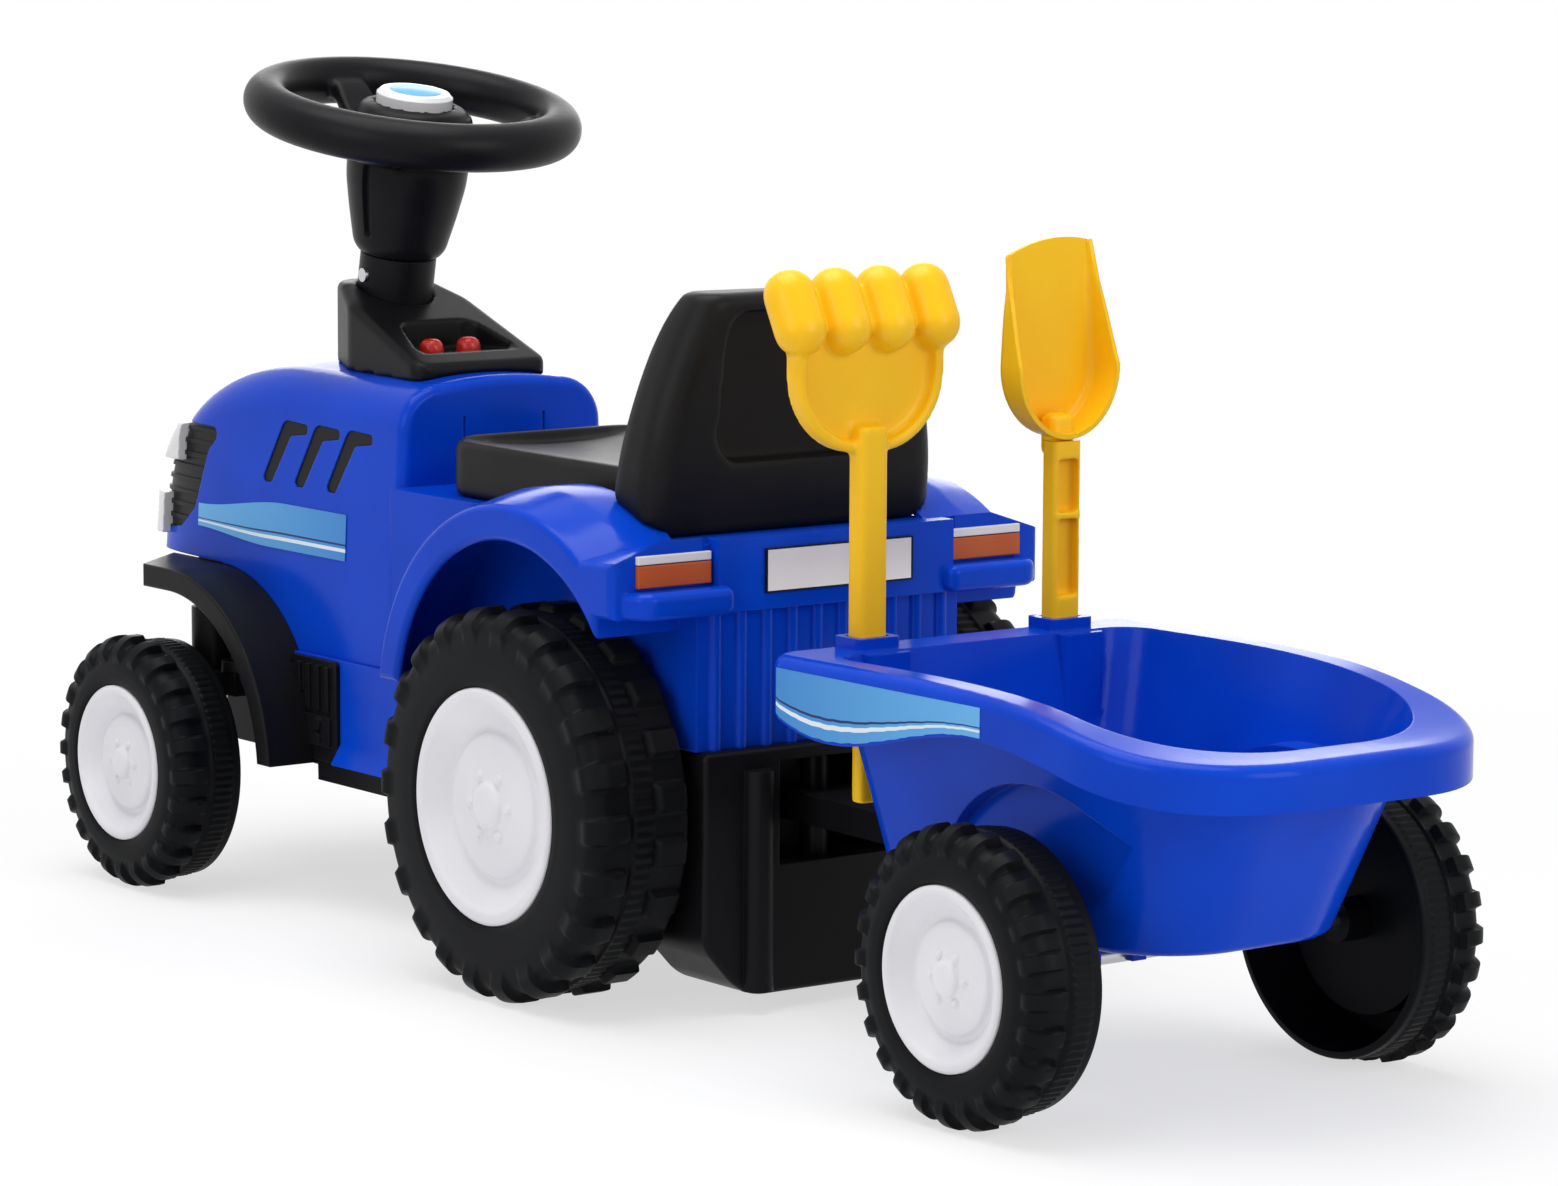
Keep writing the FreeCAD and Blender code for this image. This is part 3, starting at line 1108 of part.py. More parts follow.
boss_shell = turned("boss_shell", [
    ("steering_rod_radius", "-75"),
    ("25", "-75"),
    ("26", "-70"),
    ("32", "-32"),
    ("32", "-24"),
    ("24", "-16"),
    ("steering_rod_radius", "-16"),
])
boss_grooves = []
for index in range(6):
    groove = doc.addObject("Part::Box", f"boss_groove_{index}")
    groove.Length = 8
    groove.Width = 3
    groove.Height = 34
    turn = Rotation(Vector(0, 0, 1), 30 + 60 * index)
    groove.Placement = Placement(turn.multVec(Vector(26, -1.5, 0)) + Vector(0, 0, -66), turn)
    boss_grooves.append(groove)
keep("steering_boss", lean(cut("boss", boss_shell, *boss_grooves)))

grip = doc.addObject("Part::Torus", "grip")
bind(grip, "Radius1", "ring_radius")
bind(grip, "Radius2", "grip_radius")
hub_dome = turned("hub_dome", [
    ("0", "-16"),
    ("24", "-16"),
    ("31", "-8"),
    ("31", "-2"),
    ("27", "4"),
    ("horn_radius + fit_gap", "6"),
    ("horn_radius + fit_gap", "-9"),
    ("0", "-9"),
])
spokes = []
for index in range(3):
    spoke = solid(f"spoke_{index}", Part.makeLoft([
        rounded_outline([(-13, -11, 3), (13, -11, 3), (13, 0, 3), (-13, 0, 3)], 27, "yz"),
        rounded_outline([(-9, -6, 3), (9, -6, 3), (9, 5, 3), (-9, 5, 3)], value("ring_radius") - 3, "yz"),
    ], True, True))
    spoke.Placement = Placement(Vector(), Rotation(Vector(0, 0, 1), 120 * index))
    spokes.append(spoke)
keep("steering_wheel", lean(fuse("wheel_body", grip, hub_dome, *spokes)))

horn = turned("horn", [
    ("0", "-9 + horn_travel + 1"),
    ("horn_radius", "-9 + horn_travel + 1"),
    ("horn_radius", "10"),
    ("horn_radius - 2", "12"),
    ("0", "13"),
])
keep("horn_button", lean(horn))

# Black dash console on the cowl: a round tower for the column that falls to a ledge with two red buttons.
dash_top = value("dash_top")
dash_rear = value("dash_rear")
dash_front = value("dash_front")
half = value("dash_half_width")
dash_plan = prism([(dash_rear, -half, 8), (dash_front - 40, -half + 4, 20), (dash_front, -20, 18),
                   (dash_front, 20, 18), (dash_front - 40, half - 4, 20), (dash_rear, half, 8)],
                  value("cowl_top") - 20, dash_top + 5)
dash_side = prism([(dash_rear - 5, value("cowl_top") - 20, 1), (dash_rear - 5, value("cowl_top") + 3, 1),
                   (dash_front - 20, dash_top, 8), (dash_front + 5, dash_top + 1, 1),
                   (dash_front + 5, value("cowl_top") - 20, 1)], -half - 5, half + 5, "xz")
dash_shape = dash_plan.common(dash_side)
dash_edges = [edge for edge in dash_shape.Edges if edge.CenterOfMass.z > value("cowl_top") + 2]
dash_shape = dash_shape.makeFillet(value("dash_round"), dash_edges)
button_x = value("button_x")
ledge_room = prism([(button_x - 15, -30, 4), (button_x + 15, -22, 10), (button_x + 15, 22, 10),
                    (button_x - 15, 30, 4)], value("recess_floor"), dash_top + 10)
column_room = along_column(value("column_radius + fit_gap"), -150, -60)
dash_shape = dash_shape.cut([ledge_room, hood_outside, column_room])
dash_under = prism([(button_x - 18, -26, 3), (button_x + 24, -26, 3), (button_x + 24, 26, 3),
                    (button_x - 18, 26, 3)], value("cowl_top") - 20, value("recess_floor") - value("wall"))
dash_shape = dash_shape.cut(dash_under)
button_bores = [Part.makeCylinder(value("button_radius + fit_gap"), 30, Vector(
    button_x, side * value("button_spacing") / 2, value("recess_floor") - 15)) for side in (1, -1)]
dash_shape = dash_shape.cut(button_bores)
keep("dash_console", solid("dash", max(dash_shape.Solids, key=lambda piece: piece.Volume)))

sound_case = box("sound_case", "button_x - 17", "button_x + 23", "-25", "25", "recess_floor - wall - 24",
                 "recess_floor - wall")
sound_wells = [rod(f"sound_well_{side}", "z", "button_radius + 1", "recess_floor - wall - button_travel - 2",
                   "recess_floor", x="button_x", y=f"{side} * button_spacing / 2") for side in (1, -1)]
keep("sound_box", cut("sound", sound_case, *sound_wells))
for label, side in (("left_button", 1), ("right_button", -1)):
    cap = turned(label + "_cap", [
        ("0", "-wall + 0.3"),
        ("button_radius", "-wall + 0.3"),
        ("button_radius", "3.5"),
        ("button_radius - 1.5", "5"),
        ("0", "5"),
    ])
    keep(label, place(cap, "button_x", f"{side} * button_spacing / 2", "recess_floor"))

# Black moulded seat with its backrest, one hollow piece hinged at the front over the storage tray.
seat_base = value("seat_base")
seat_top = value("seat_top")
seat_front_x = value("seat_front_x")
seat_rear_x = value("seat_rear_x")
seat_half = value("seat_half_width")
back_half = value("back_half_width")
back_top_half = value("back_top_half_width")
back_top = value("deck + back_height")
cushion = prism([(seat_rear_x, -seat_half, 12), (seat_front_x, -seat_half + 4, 22),
                 (seat_front_x, seat_half - 4, 22), (seat_rear_x, seat_half, 12)], seat_base, seat_top)
top_edges = [edge for edge in cushion.Edges if abs(edge.CenterOfMass.z - seat_top) < 0.01]
cushion = cushion.makeFillet(6, top_edges)
dish_radius = (seat_half ** 2 - 40) / (2 * value("seat_dish"))
dish = Part.makeCylinder(dish_radius, seat_front_x - seat_rear_x - 60, Vector(
    seat_rear_x + 50, 0, seat_top + dish_radius - value("seat_dish")), Vector(1, 0, 0))


def back_section(height, rear, front, wide, corner):
    """Level section through the backrest."""
    return rounded_outline([(rear, -wide, corner), (front, -wide, corner), (front, wide, corner),
                            (rear, wide, corner)], height)


middle_half = back_half + (back_top_half - back_half) * 0.62
back = Part.makeLoft([
    back_section(seat_base, seat_rear_x + 1, seat_rear_x + 34, back_half, 12),
    back_section(seat_base + 34, seat_rear_x - 4, seat_rear_x + 36, back_half - 1, 14),
    back_section(seat_base + 74, seat_rear_x - 7, seat_rear_x + 31, middle_half + 8, 15),
    back_section(seat_base + 98, seat_rear_x - 8, seat_rear_x + 28, back_top_half + 9, 15),
    back_section(back_top, seat_rear_x - 8, seat_rear_x + 20, back_top_half, 13),
], True, False)
back_edges = [edge for edge in back.Edges if abs(edge.CenterOfMass.z - back_top) < 0.01]
back = back.makeFillet(6, back_edges)
lap_radius = 208
lap_foot = Vector(seat_rear_x + 15 + lap_radius, 0, seat_top - 1)
lap = Part.makeCylinder(lap_radius, 200, lap_foot, Vector(0, 0, 1))
back_pocket = prism([(-50, seat_base + 34, 14), (50, seat_base + 34, 14), (44, back_top - 9, 14),
                     (-44, back_top - 9, 14)], seat_rear_x - 40, seat_rear_x + 8, "yz")
seat_room = prism([(seat_rear_x + 8, -seat_half + 6, 8), (seat_front_x - 5, -seat_half + 10, 18),
                   (seat_front_x - 5, seat_half - 10, 18), (seat_rear_x + 8, seat_half - 6, 8)], seat_base - 1,
                  seat_top - value("seat_dish") - 4)
seat_shape = cushion.cut(dish).fuse(back.cut(lap)).removeSplitter()
gap = value("fit_gap")
arch_clear = arch_solid(arch_outer + gap, arch_shelf + gap, arch_inner - gap, -gap)
arch_clear = [arch_clear, mirrored(arch_clear)]
tail_clear = Part.makeBox(14, 2 * value("body_half_width") + 1, 20, Vector(
    value("panel_x") - 1, -value("body_half_width") - 0.5, value("panel_top") + value("fit_gap") - 20))
seat_shape = seat_shape.cut([back_pocket, seat_room, tail_clear] + arch_clear)
hinge = Vector(value("hinge_x"), 0, value("hinge_z"))
knuckle_half = value("ear_y - 4.5")
knuckle = Part.makeCylinder(value("ear_radius"), 2 * knuckle_half, hinge + Vector(0, -knuckle_half, 0),
                            Vector(0, 1, 0))
tongue = Part.makeBox(14, 2 * knuckle_half, 6, hinge + Vector(-13, -knuckle_half, -0.5))
seat_shape = seat_shape.fuse([knuckle, tongue]).cut(
    Part.makeCylinder(value("hinge_pin_radius + bore_gap"), 80, hinge + Vector(0, -40, 0), Vector(0, 1, 0)))
keep("seat", solid("seat_shell", max(seat_shape.Solids, key=lambda piece: piece.Volume)))
keep("seat_hinge_pin", rod("hinge_rod", "y", "hinge_pin_radius", "-ear_y - 6", "ear_y + 6",
                           x="hinge_x", z="hinge_z"))


# Blue trailer tub: a tapered bin with a rolled rim that dips toward the rear, recesses for the wheels and two
# sockets for the tools at the front.
def tub_section(height, grow):
    """Level outline of the tub at a height, grown outward by an amount."""
    share = (height - value("tub_low")) / value("tub_depth")
    front = value("tub_front_x") + value("tub_rake_front") * share + grow
    rear = value("tub_rear_x") - value("tub_rake_rear") * share - grow
    wide = value("tub_half_width") + value("tub_flare") * share + grow
    return rounded_outline([(rear, -wide, 48 + 22 * share), (front, -wide, 17), (front, wide, 17),
                            (rear, wide, 48 + 22 * share)], height)


def tub_block(low, high, grow):
    return Part.makeLoft([tub_section(low, grow), tub_section(high, grow)], True, True)


def rim_line(drop_front, drop_rear, dip=0):
    """Side view of the rim's edge as points from the front to the rear."""
    front = value("rim_front_x")
    rear = value("rim_rear_x")
    top = value("rim_top")
    fall = value("rim_drop")
    shares = ((-0.02, 0), (0.22, 0.0), (0.50, 0.02), (0.68, 0.28), (0.84, 0.78), (1.02, 1.0))
    return [Vector(front + (rear - front) * share, 0, top - fall * sink - drop_front
                   - (drop_rear - drop_front) * share - (dip if share == 0.22 else 0))
            for share, sink in shares]


def side_block(upper, lower):
    """Solid between two side-view lines, across the whole width."""
    edges = []
    for points in (upper, lower):
        curve = Part.BSplineCurve()
        curve.interpolate(points)
        edges.append(curve.toShape())
    ends = [Part.LineSegment(upper[index], lower[index]).toShape() for index in (0, -1)]
    face = Part.Face(Part.Wire(Part.__sortEdges__(edges + ends)))
    face.translate(Vector(0, -200, 0))
    return face.extrude(Vector(0, 400, 0))


tub_low = value("tub_low")
rim_top = value("rim_top")
tub_wall = value("wall")
rim_front_x = value("rim_front_x")
rim_rear_x = value("rim_rear_x")
rim_half = value("rim_half_width")


def rim_plan(inset, low, high):
    """Upright block inside the rim's outline, drawn in by an inset."""
    corner = value("rim_corner") - inset
    return prism([(rim_rear_x + inset, -rim_half + 1 + inset, corner),
                  (rim_front_x - inset, -rim_half + inset, 14),
                  (rim_front_x - inset, rim_half - inset, 14),
                  (rim_rear_x + inset, rim_half - 1 - inset, corner)], low, high)


skirt = side_block(rim_line(0, 0), rim_line(20, 21, 15))
under_rim = side_block(rim_line(tub_wall, tub_wall), rim_line(80, 80))
rim = rim_plan(0, tub_low, rim_top + 20).common(skirt)
rim_edges = [edge for edge in rim.Edges if edge.CenterOfMass.z > rim_top - value("rim_drop") - 2]
rim_edges = [edge for edge in rim_edges if edge.Length > 5]
rim_edges = [edge for edge in rim_edges if edge.BoundBox.XLength + edge.BoundBox.YLength > 5]
rim = rim.makeFillet(value("rim_round"), rim_edges)
rim_hollow = rim_plan(tub_wall, tub_low, rim_top + 20).common(under_rim)
tub_outside = tub_block(tub_low, rim_top + 10, 0)
foot_edges = [edge for edge in tub_outside.Edges if edge.BoundBox.ZMax < tub_low + 0.01]
tub_outside = tub_outside.makeFillet(value("tub_round"), foot_edges)
below_rim = side_block(rim_line(0, 0), rim_line(150, 150))
recess_radius = value("small_wheel_radius + recess_gap")
axle_spot = Vector(value("trailer_axle_x"), 0, value("small_wheel_radius"))


def wheel_recesses(radius, inset):
    drums = []
    for side in (1, -1):
        start = value("recess_y") - inset
        drums.append(Part.makeCylinder(radius, 80, axle_spot + Vector(0, side * start, 0), Vector(0, side, 0)))
    return drums


tub_room = tub_block(tub_low + tub_wall, rim_top + 30, -tub_wall).cut(
    wheel_recesses(recess_radius + tub_wall, tub_wall))
spread = value("socket_spread")
stem_x = value("stem_x")
stem_half = value("stem_width / 2 + fit_gap")
stem_thick = value("stem_depth / 2 + fit_gap")
step = value("stem_step")
sink = value("shoulder_sink")
socket_top = value("socket_top")
pillars = []
collars = []
socket_holes = []
for side in (1, -1):
    middle = side * spread
    pillars.append(prism([(stem_x - 19, middle - stem_half - 4, 4), (stem_x + 12, middle - stem_half - 4, 1),
                          (stem_x + 12, middle + stem_half + 4, 1), (stem_x - 19, middle + stem_half + 4, 4)],
                         tub_low + 26, rim_top - 1).common(tub_outside))
    collars.append(prism([(stem_x - 10, middle - stem_half - 4, 3), (stem_x + 10, middle - stem_half - 4, 3),
                          (stem_x + 10, middle + stem_half + 4, 3), (stem_x - 10, middle + stem_half + 4, 3)],
                         rim_top - 6, socket_top))
    socket_holes.append(Part.makeBox(2 * stem_thick, 2 * stem_half, 20, Vector(
        stem_x - stem_thick, middle - stem_half, socket_top - sink)))
    socket_holes.append(Part.makeBox(2 * (stem_thick - step), 2 * (stem_half - step), 60, Vector(
        stem_x - stem_thick + step, middle - stem_half + step, socket_top - 40)))
    socket_holes.append(Part.makeBox(60, 2 * stem_half, value("tub_depth") - 32, Vector(
        stem_x - 16, middle - stem_half, tub_low + 23)))
tub_shell = tub_outside.common(below_rim).fuse(rim.cut(rim_hollow)).removeSplitter()
tub_shell = tub_shell.cut(wheel_recesses(recess_radius, 0)).cut(tub_room)
tub_shell = tub_shell.fuse(pillars + collars).cut(socket_holes)
clips = []
for side in (1, -1):
    for start in (26, 52):
        clips.append(Part.makeBox(16, 8, tub_low + 3.5 - axle_spot.z, axle_spot + Vector(
            -8, side * start - 4, -2.5)))
tub_shell = tub_shell.fuse(clips).cut(Part.makeCylinder(value("axle_radius + bore_gap"), 300, axle_spot + Vector(
    0, -150, 0), Vector(0, 1, 0))).removeSplitter()
keep("trailer_tub", solid("tub", max(tub_shell.Solids, key=lambda piece: piece.Volume)))

# Black drawbar: an eye over the hitch pin, a ribbed bar and a foot screwed against the front wall of the tub.
bar_mid = value("drawbar_mid")
bar_half = value("drawbar_half_width")
bar_low = bar_mid - value("drawbar_height") / 2
bar_top = bar_mid + value("drawbar_height") / 2
hitch_x = value("hitch_x")
bar_foot = value("tub_front_x")
bar_plan = prism([(hitch_x + 16, -bar_half, 15), (hitch_x + 16, bar_half, 15), (bar_foot - 20, bar_half + 8, 2),
                  (bar_foot - 20, -bar_half - 8, 2)], bar_low, bar_top)
bar_room = prism([(hitch_x - 18, -bar_half + 3, 2), (hitch_x - 18, bar_half - 3, 2), (bar_foot + 20, bar_half, 2),
                  (bar_foot + 20, -bar_half, 2)], bar_low - 1, bar_top - 3)
foot_plate = prism([(-32, tub_low + 4, 5), (32, tub_low + 4, 5), (32, tub_low + 58, 5), (-32, tub_low + 58, 5)],
                   bar_foot - 20, bar_foot + 14, "yz")
bar_shape = bar_plan.cut(bar_room).fuse(foot_plate).cut(tub_block(tub_low - 20, rim_top, 0)).removeSplitter()
bar_shape = bar_shape.cut(Part.makeCylinder(value("hitch_pin_radius + fit_gap"), 60, Vector(
    hitch_x, 0, bar_mid - 30)))
keep("drawbar", solid("bar", max(bar_shape.Solids, key=lambda piece: piece.Volume)))
screw_heads = []
for side in (1, -1):
    for up in (tub_low + 8.5, tub_low + 50):
        screw_heads.append(Part.makeCylinder(value("screw_radius"), 2, Vector(
            bar_foot + 14, side * 25, up), Vector(1, 0, 0)))
keep("drawbar_screws", solid("bar_screws", Part.makeCompound(screw_heads)))

# Yellow hand tools. Each has a flat stem with a shoulder that rests inside its socket.
def tool_stem(middle, head_foot):
    """Stem of a tool: full size down to its shoulder, slimmer through the socket."""
    parts = []
    for slim, low, high in ((0, socket_top - sink + gap, head_foot), (step, socket_top - value("stem_reach"),
                                                                      socket_top - sink + gap)):
        thick = value("stem_depth") / 2 - slim
        wide = value("stem_width") / 2 - slim
        corners = [(stem_x - thick, middle - wide, 2.5), (stem_x + thick, middle - wide, 2.5),
                   (stem_x + thick, middle + wide, 2.5), (stem_x - thick, middle + wide, 2.5)]
        parts.append(prism(corners, low, high))
    return parts[0].fuse(parts[1])


# The rake has a cupped palm and four fat tines that lean toward the tractor.
head_foot = socket_top + value("stem_rise")
rake_half = value("rake_half_width")
palm_top = head_foot + 56


def palm(inset, back, front):
    return prism([(spread - rake_half + inset, palm_top, 4),
                  (spread - rake_half + inset, head_foot + inset, 36 - inset),
                  (spread + rake_half - inset, head_foot + inset, 36 - inset),
                  (spread + rake_half - inset, palm_top, 4)], back, front, "yz")


rake_shape = tool_stem(spread, head_foot + 12).fuse(palm(0, stem_x - 3, stem_x + 8).cut(
    palm(5, stem_x - 5, stem_x + 3)))
tine = value("tine_radius")
for index in range(4):
    y = spread + (index - 1.5) * value("tine_pitch")
    root = Vector(stem_x + 1, y, palm_top + 1)
    crest = root + Vector(8, 0, 15)
    shank = Part.makeCylinder(tine, (crest - root).Length, root, crest - root)
    rake_shape = rake_shape.fuse([shank, Part.makeSphere(tine, root), Part.makeSphere(tine, crest)])
keep("rake", solid("rake_body", rake_shape.removeSplitter()))

# The shovel is a scoop, deep at its foot and open at its tip, with a hollow stem stiffened by a rib.
shovel_half = value("shovel_half_width")
shovel_top = head_foot + value("shovel_height")
deep = value("shovel_depth")
scoop_back = stem_x + deep / 2 + 3


def scoop_outline(inset):
    return [(-spread - shovel_half + 3 + inset, shovel_top - inset, 12),
            (-spread - shovel_half + inset, head_foot + inset, 24 - inset),
            (-spread + shovel_half - inset, head_foot + inset, 24 - inset),
            (-spread + shovel_half - 3 - inset, shovel_top - inset, 12)]


scoop = prism(scoop_outline(0), scoop_back - deep, scoop_back, "yz")
scoop_hollow = [(a, b + (30 if b > shovel_top - 10 else 0), radius) for a, b, radius in scoop_outline(2.6)]
scoop = scoop.cut(prism(scoop_hollow, scoop_back - deep - 5, scoop_back - 2.6, "yz"))
taper = Part.Face(Part.makePolygon([
    Vector(scoop_back - deep - 1, 0, head_foot + 34), Vector(scoop_back - 2.6, 0, shovel_top),
    Vector(scoop_back - deep - 1, 0, shovel_top + 5), Vector(scoop_back - deep - 1, 0, head_foot + 34)]))
taper.translate(Vector(0, -200, 0))
scoop = scoop.cut(taper.extrude(Vector(0, 400, 0)))
shovel_stem = tool_stem(-spread, head_foot + 2)
stem_half = value("stem_width") / 2
stem_thick = value("stem_depth") / 2
stem_groove = Part.makeBox(7, 2 * stem_half - 4, head_foot - socket_top - 20, Vector(
    stem_x - stem_thick - 1, -spread - stem_half + 2, socket_top + 10))
rib_corner = Vector(stem_x - stem_thick, -spread - stem_half + 0.5, socket_top + 46)
stem_rib = Part.makeBox(6, 2 * stem_half - 1, 3, rib_corner)
shovel_shape = shovel_stem.cut(stem_groove).fuse([stem_rib, scoop]).removeSplitter()
keep("shovel", solid("shovel_body", shovel_shape))

# Screws that hold the floor pan to the body and the subframe.
pan_screws = [rod(f"pan_screw_{ahead}_{side}", "z", "screw_radius", "floor_height - 2", "floor_height",
                  x=f"rear_axle_x + {ahead}", y=f"{side} * 30") for ahead in (40, 140, 240) for side in (1, -1)]
keep("body_screws", fuse("pan_screws", *pan_screws))

doc.recompute()
os.makedirs("parts", exist_ok=True)
for item in doc.Objects:
    if "Invalid" in item.State or "Error" in item.State:
        raise RuntimeError("piece not built: " + item.Name)
for label, item in pieces.items():
    if item.Shape.isNull() or not item.Shape.isValid():
        raise RuntimeError("bad shape: " + label)
    item.Shape.exportStep(f"parts/{label}.step")
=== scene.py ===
import json
import math

import bmesh
import bpy
from mathutils import Matrix, Vector
from mathutils.bvhtree import BVHTree


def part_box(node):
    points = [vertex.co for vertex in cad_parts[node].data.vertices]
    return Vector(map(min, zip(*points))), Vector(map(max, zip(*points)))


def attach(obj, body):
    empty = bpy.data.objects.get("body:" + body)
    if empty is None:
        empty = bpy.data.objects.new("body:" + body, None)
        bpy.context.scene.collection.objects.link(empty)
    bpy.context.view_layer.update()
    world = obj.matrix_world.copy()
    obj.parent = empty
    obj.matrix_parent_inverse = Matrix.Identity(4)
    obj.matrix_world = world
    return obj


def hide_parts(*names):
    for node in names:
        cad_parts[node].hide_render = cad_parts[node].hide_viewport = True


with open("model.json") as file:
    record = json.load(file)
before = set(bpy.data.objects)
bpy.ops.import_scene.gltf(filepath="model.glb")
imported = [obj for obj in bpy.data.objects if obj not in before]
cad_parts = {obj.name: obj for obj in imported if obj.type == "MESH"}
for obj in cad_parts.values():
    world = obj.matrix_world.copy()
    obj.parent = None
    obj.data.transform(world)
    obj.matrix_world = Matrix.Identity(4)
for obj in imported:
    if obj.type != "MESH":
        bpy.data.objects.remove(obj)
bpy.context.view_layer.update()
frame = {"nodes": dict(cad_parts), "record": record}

# Blue shells: the rear body with its arches and fluted tail wall, and the hood with its cowl.
# Both are injection-moulded polypropylene, glossy, with a faint drift of tone and soft edges where the
# mould was rounded. The hood clips over the front of the body and both are screwed to the floor pan.


def linear(code):
    """Linear colour of an sRGB hex value."""
    shares = [int(code[start:start + 2], 16) / 255 for start in (1, 3, 5)]
    levels = [share / 12.92 if share <= 0.04045 else ((share + 0.055) / 1.055) ** 2.4 for share in shares]
    return levels + [1.0]


def add_node(tree, kind, settings, links=()):
    """Adds a node, sets its inputs and properties, and links outputs of earlier nodes to its inputs."""
    node = tree.nodes.new(kind)
    for name, setting in settings.items():
        if isinstance(name, int) or name in node.inputs:
            node.inputs[name].default_value = setting
        else:
            setattr(node, name, setting)
    for source, output, name in links:
        tree.links.new(source.outputs[output], node.inputs[name])
    return node


def moulded_plastic(name, shade, deeper, roughness, grain_mm, grain_depth_mm, edge_mm, sheen, subsurface=0.0):
    """Moulded plastic: slow drift of tone, gloss that varies in patches, mould grain and softened edges."""
    drift_mm = 70
    patch_mm = 9
    gloss_swing = 0.04
    material = bpy.data.materials.new(name)
    material.use_nodes = True
    tree = material.node_tree
    shader = tree.nodes["Principled BSDF"]
    place = add_node(tree, "ShaderNodeTexCoord", {})
    drift = add_node(tree, "ShaderNodeTexNoise", {"Scale": 1000 / drift_mm, "Detail": 2.0},
                     [(place, "Object", "Vector")])
    tones = add_node(tree, "ShaderNodeValToRGB", {}, [(drift, "Fac", "Fac")])
    for element, position, code in zip(tones.color_ramp.elements, (0.35, 0.65), (deeper, shade)):
        element.position = position
        element.color = linear(code)
    patches = add_node(tree, "ShaderNodeTexNoise", {"Scale": 1000 / patch_mm, "Detail": 3.0},
                       [(place, "Object", "Vector")])
    gloss = add_node(tree, "ShaderNodeMapRange",
                     {"To Min": roughness - gloss_swing, "To Max": roughness + gloss_swing},
                     [(patches, "Fac", "Value")])
    grain = add_node(tree, "ShaderNodeTexNoise",
                     {"Scale": 1000 / grain_mm, "Detail": 2.0, "Roughness": 0.6},
                     [(place, "Object", "Vector")])
    edges = add_node(tree, "ShaderNodeBevel", {"samples": 4, "Radius": edge_mm / 1000})
    relief = add_node(tree, "ShaderNodeBump", {"Strength": 1.0, "Distance": grain_depth_mm / 1000},
                      [(grain, "Fac", "Height"), (edges, "Normal", "Normal")])
    for source, output, socket in ((tones, "Color", "Base Color"), (gloss, "Result", "Roughness"),
                                   (relief, "Normal", "Normal")):
        tree.links.new(source.outputs[output], shader.inputs[socket])
    shader.inputs["IOR"].default_value = 1.49
    shader.inputs["Specular IOR Level"].default_value = sheen
    shader.inputs["Subsurface Weight"].default_value = subsurface
    shader.inputs["Subsurface Radius"].default_value = (0.006, 0.004, 0.0015)
    return material


bodies = frame["record"]["behaviour"]["bodies"]
body_of_node = {node: body for body, nodes in bodies.items() for node in nodes}


def placed(name, data):
    """New object of the scene, at the origin."""
    piece = bpy.data.objects.new(name, data)
    bpy.context.scene.collection.objects.link(piece)
    return piece


def stand_in(name, mesh, finish, *nodes):
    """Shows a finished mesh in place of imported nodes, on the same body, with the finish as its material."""
    mesh.materials.clear()
    mesh.materials.append(finish)
    piece = placed(name, mesh)
    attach(piece, body_of_node[nodes[0]])
    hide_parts(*nodes)
    return piece


def mesh_from(work, name, crease=32):
    """Mesh from an edited one: outward faces, smooth but for edges sharper than the crease."""
    bmesh.ops.recalc_face_normals(work, faces=work.faces)
    for face in work.faces:
        face.smooth = True
    for edge in work.edges:
        edge.smooth = len(edge.link_faces) == 2 and edge.calc_face_angle() < math.radians(crease)
    mesh = bpy.data.meshes.new(name)
    work.to_mesh(mesh)
    work.free()
    return mesh


def smooth_copy(node, finish):
    """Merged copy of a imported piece, shaded smooth across its curves and even on its flats."""
    work = bmesh.new()
    work.from_mesh(frame["nodes"][node].data)
    bmesh.ops.remove_doubles(work, verts=work.verts, dist=0.00001)
    piece = stand_in(node + "_skin", mesh_from(work, node + "_skin"), finish, node)
    piece.modifiers.new("even_shading", "WEIGHTED_NORMAL").keep_sharp = True
    return piece


blue_gloss = moulded_plastic("blue_polypropylene_gloss", "#0543c8", "#053dbc", roughness=0.18, grain_mm=14.0,
                             grain_depth_mm=0.02, edge_mm=1.2, sheen=0.10)
smooth_copy("main_body", blue_gloss)
smooth_copy("hood", blue_gloss)

# Black mouldings of the chassis: floor pan, front frame, anti-tip block, arches, engine panels and trim.
# They are black polypropylene with a satin mould grain; the trim is pressed into seats in the blue hood.
black_satin = moulded_plastic("black_polypropylene_satin", "#161619", "#111113", roughness=0.36, grain_mm=0.9,
                              grain_depth_mm=0.012, edge_mm=1.0, sheen=0.1)
for node in ("floor_pan", "front_subframe", "anti_tip_block", "storage_tray", "sound_box", "front_arch_left",
             "front_arch_right", "engine_panels", "hood_vents", "grille", "side_grilles", "hitch_pin"):
    smooth_copy(node, black_satin)

# Tail and nose fittings: lamp faces in white and orange, and a bare white number plate with a dark border.
# They are glossy styrene pieces glued into shallow seats of the blue shells.
white_gloss = moulded_plastic("white_styrene_gloss", "#e4e2e4", "#dbd9dc", roughness=0.24, grain_mm=1.0,
                              grain_depth_mm=0.003, edge_mm=0.8, sheen=0.3)
lamp_orange = moulded_plastic("orange_styrene_gloss", "#c9602c", "#b4501f", roughness=0.24, grain_mm=1.0,
                              grain_depth_mm=0.003, edge_mm=0.8, sheen=0.3)


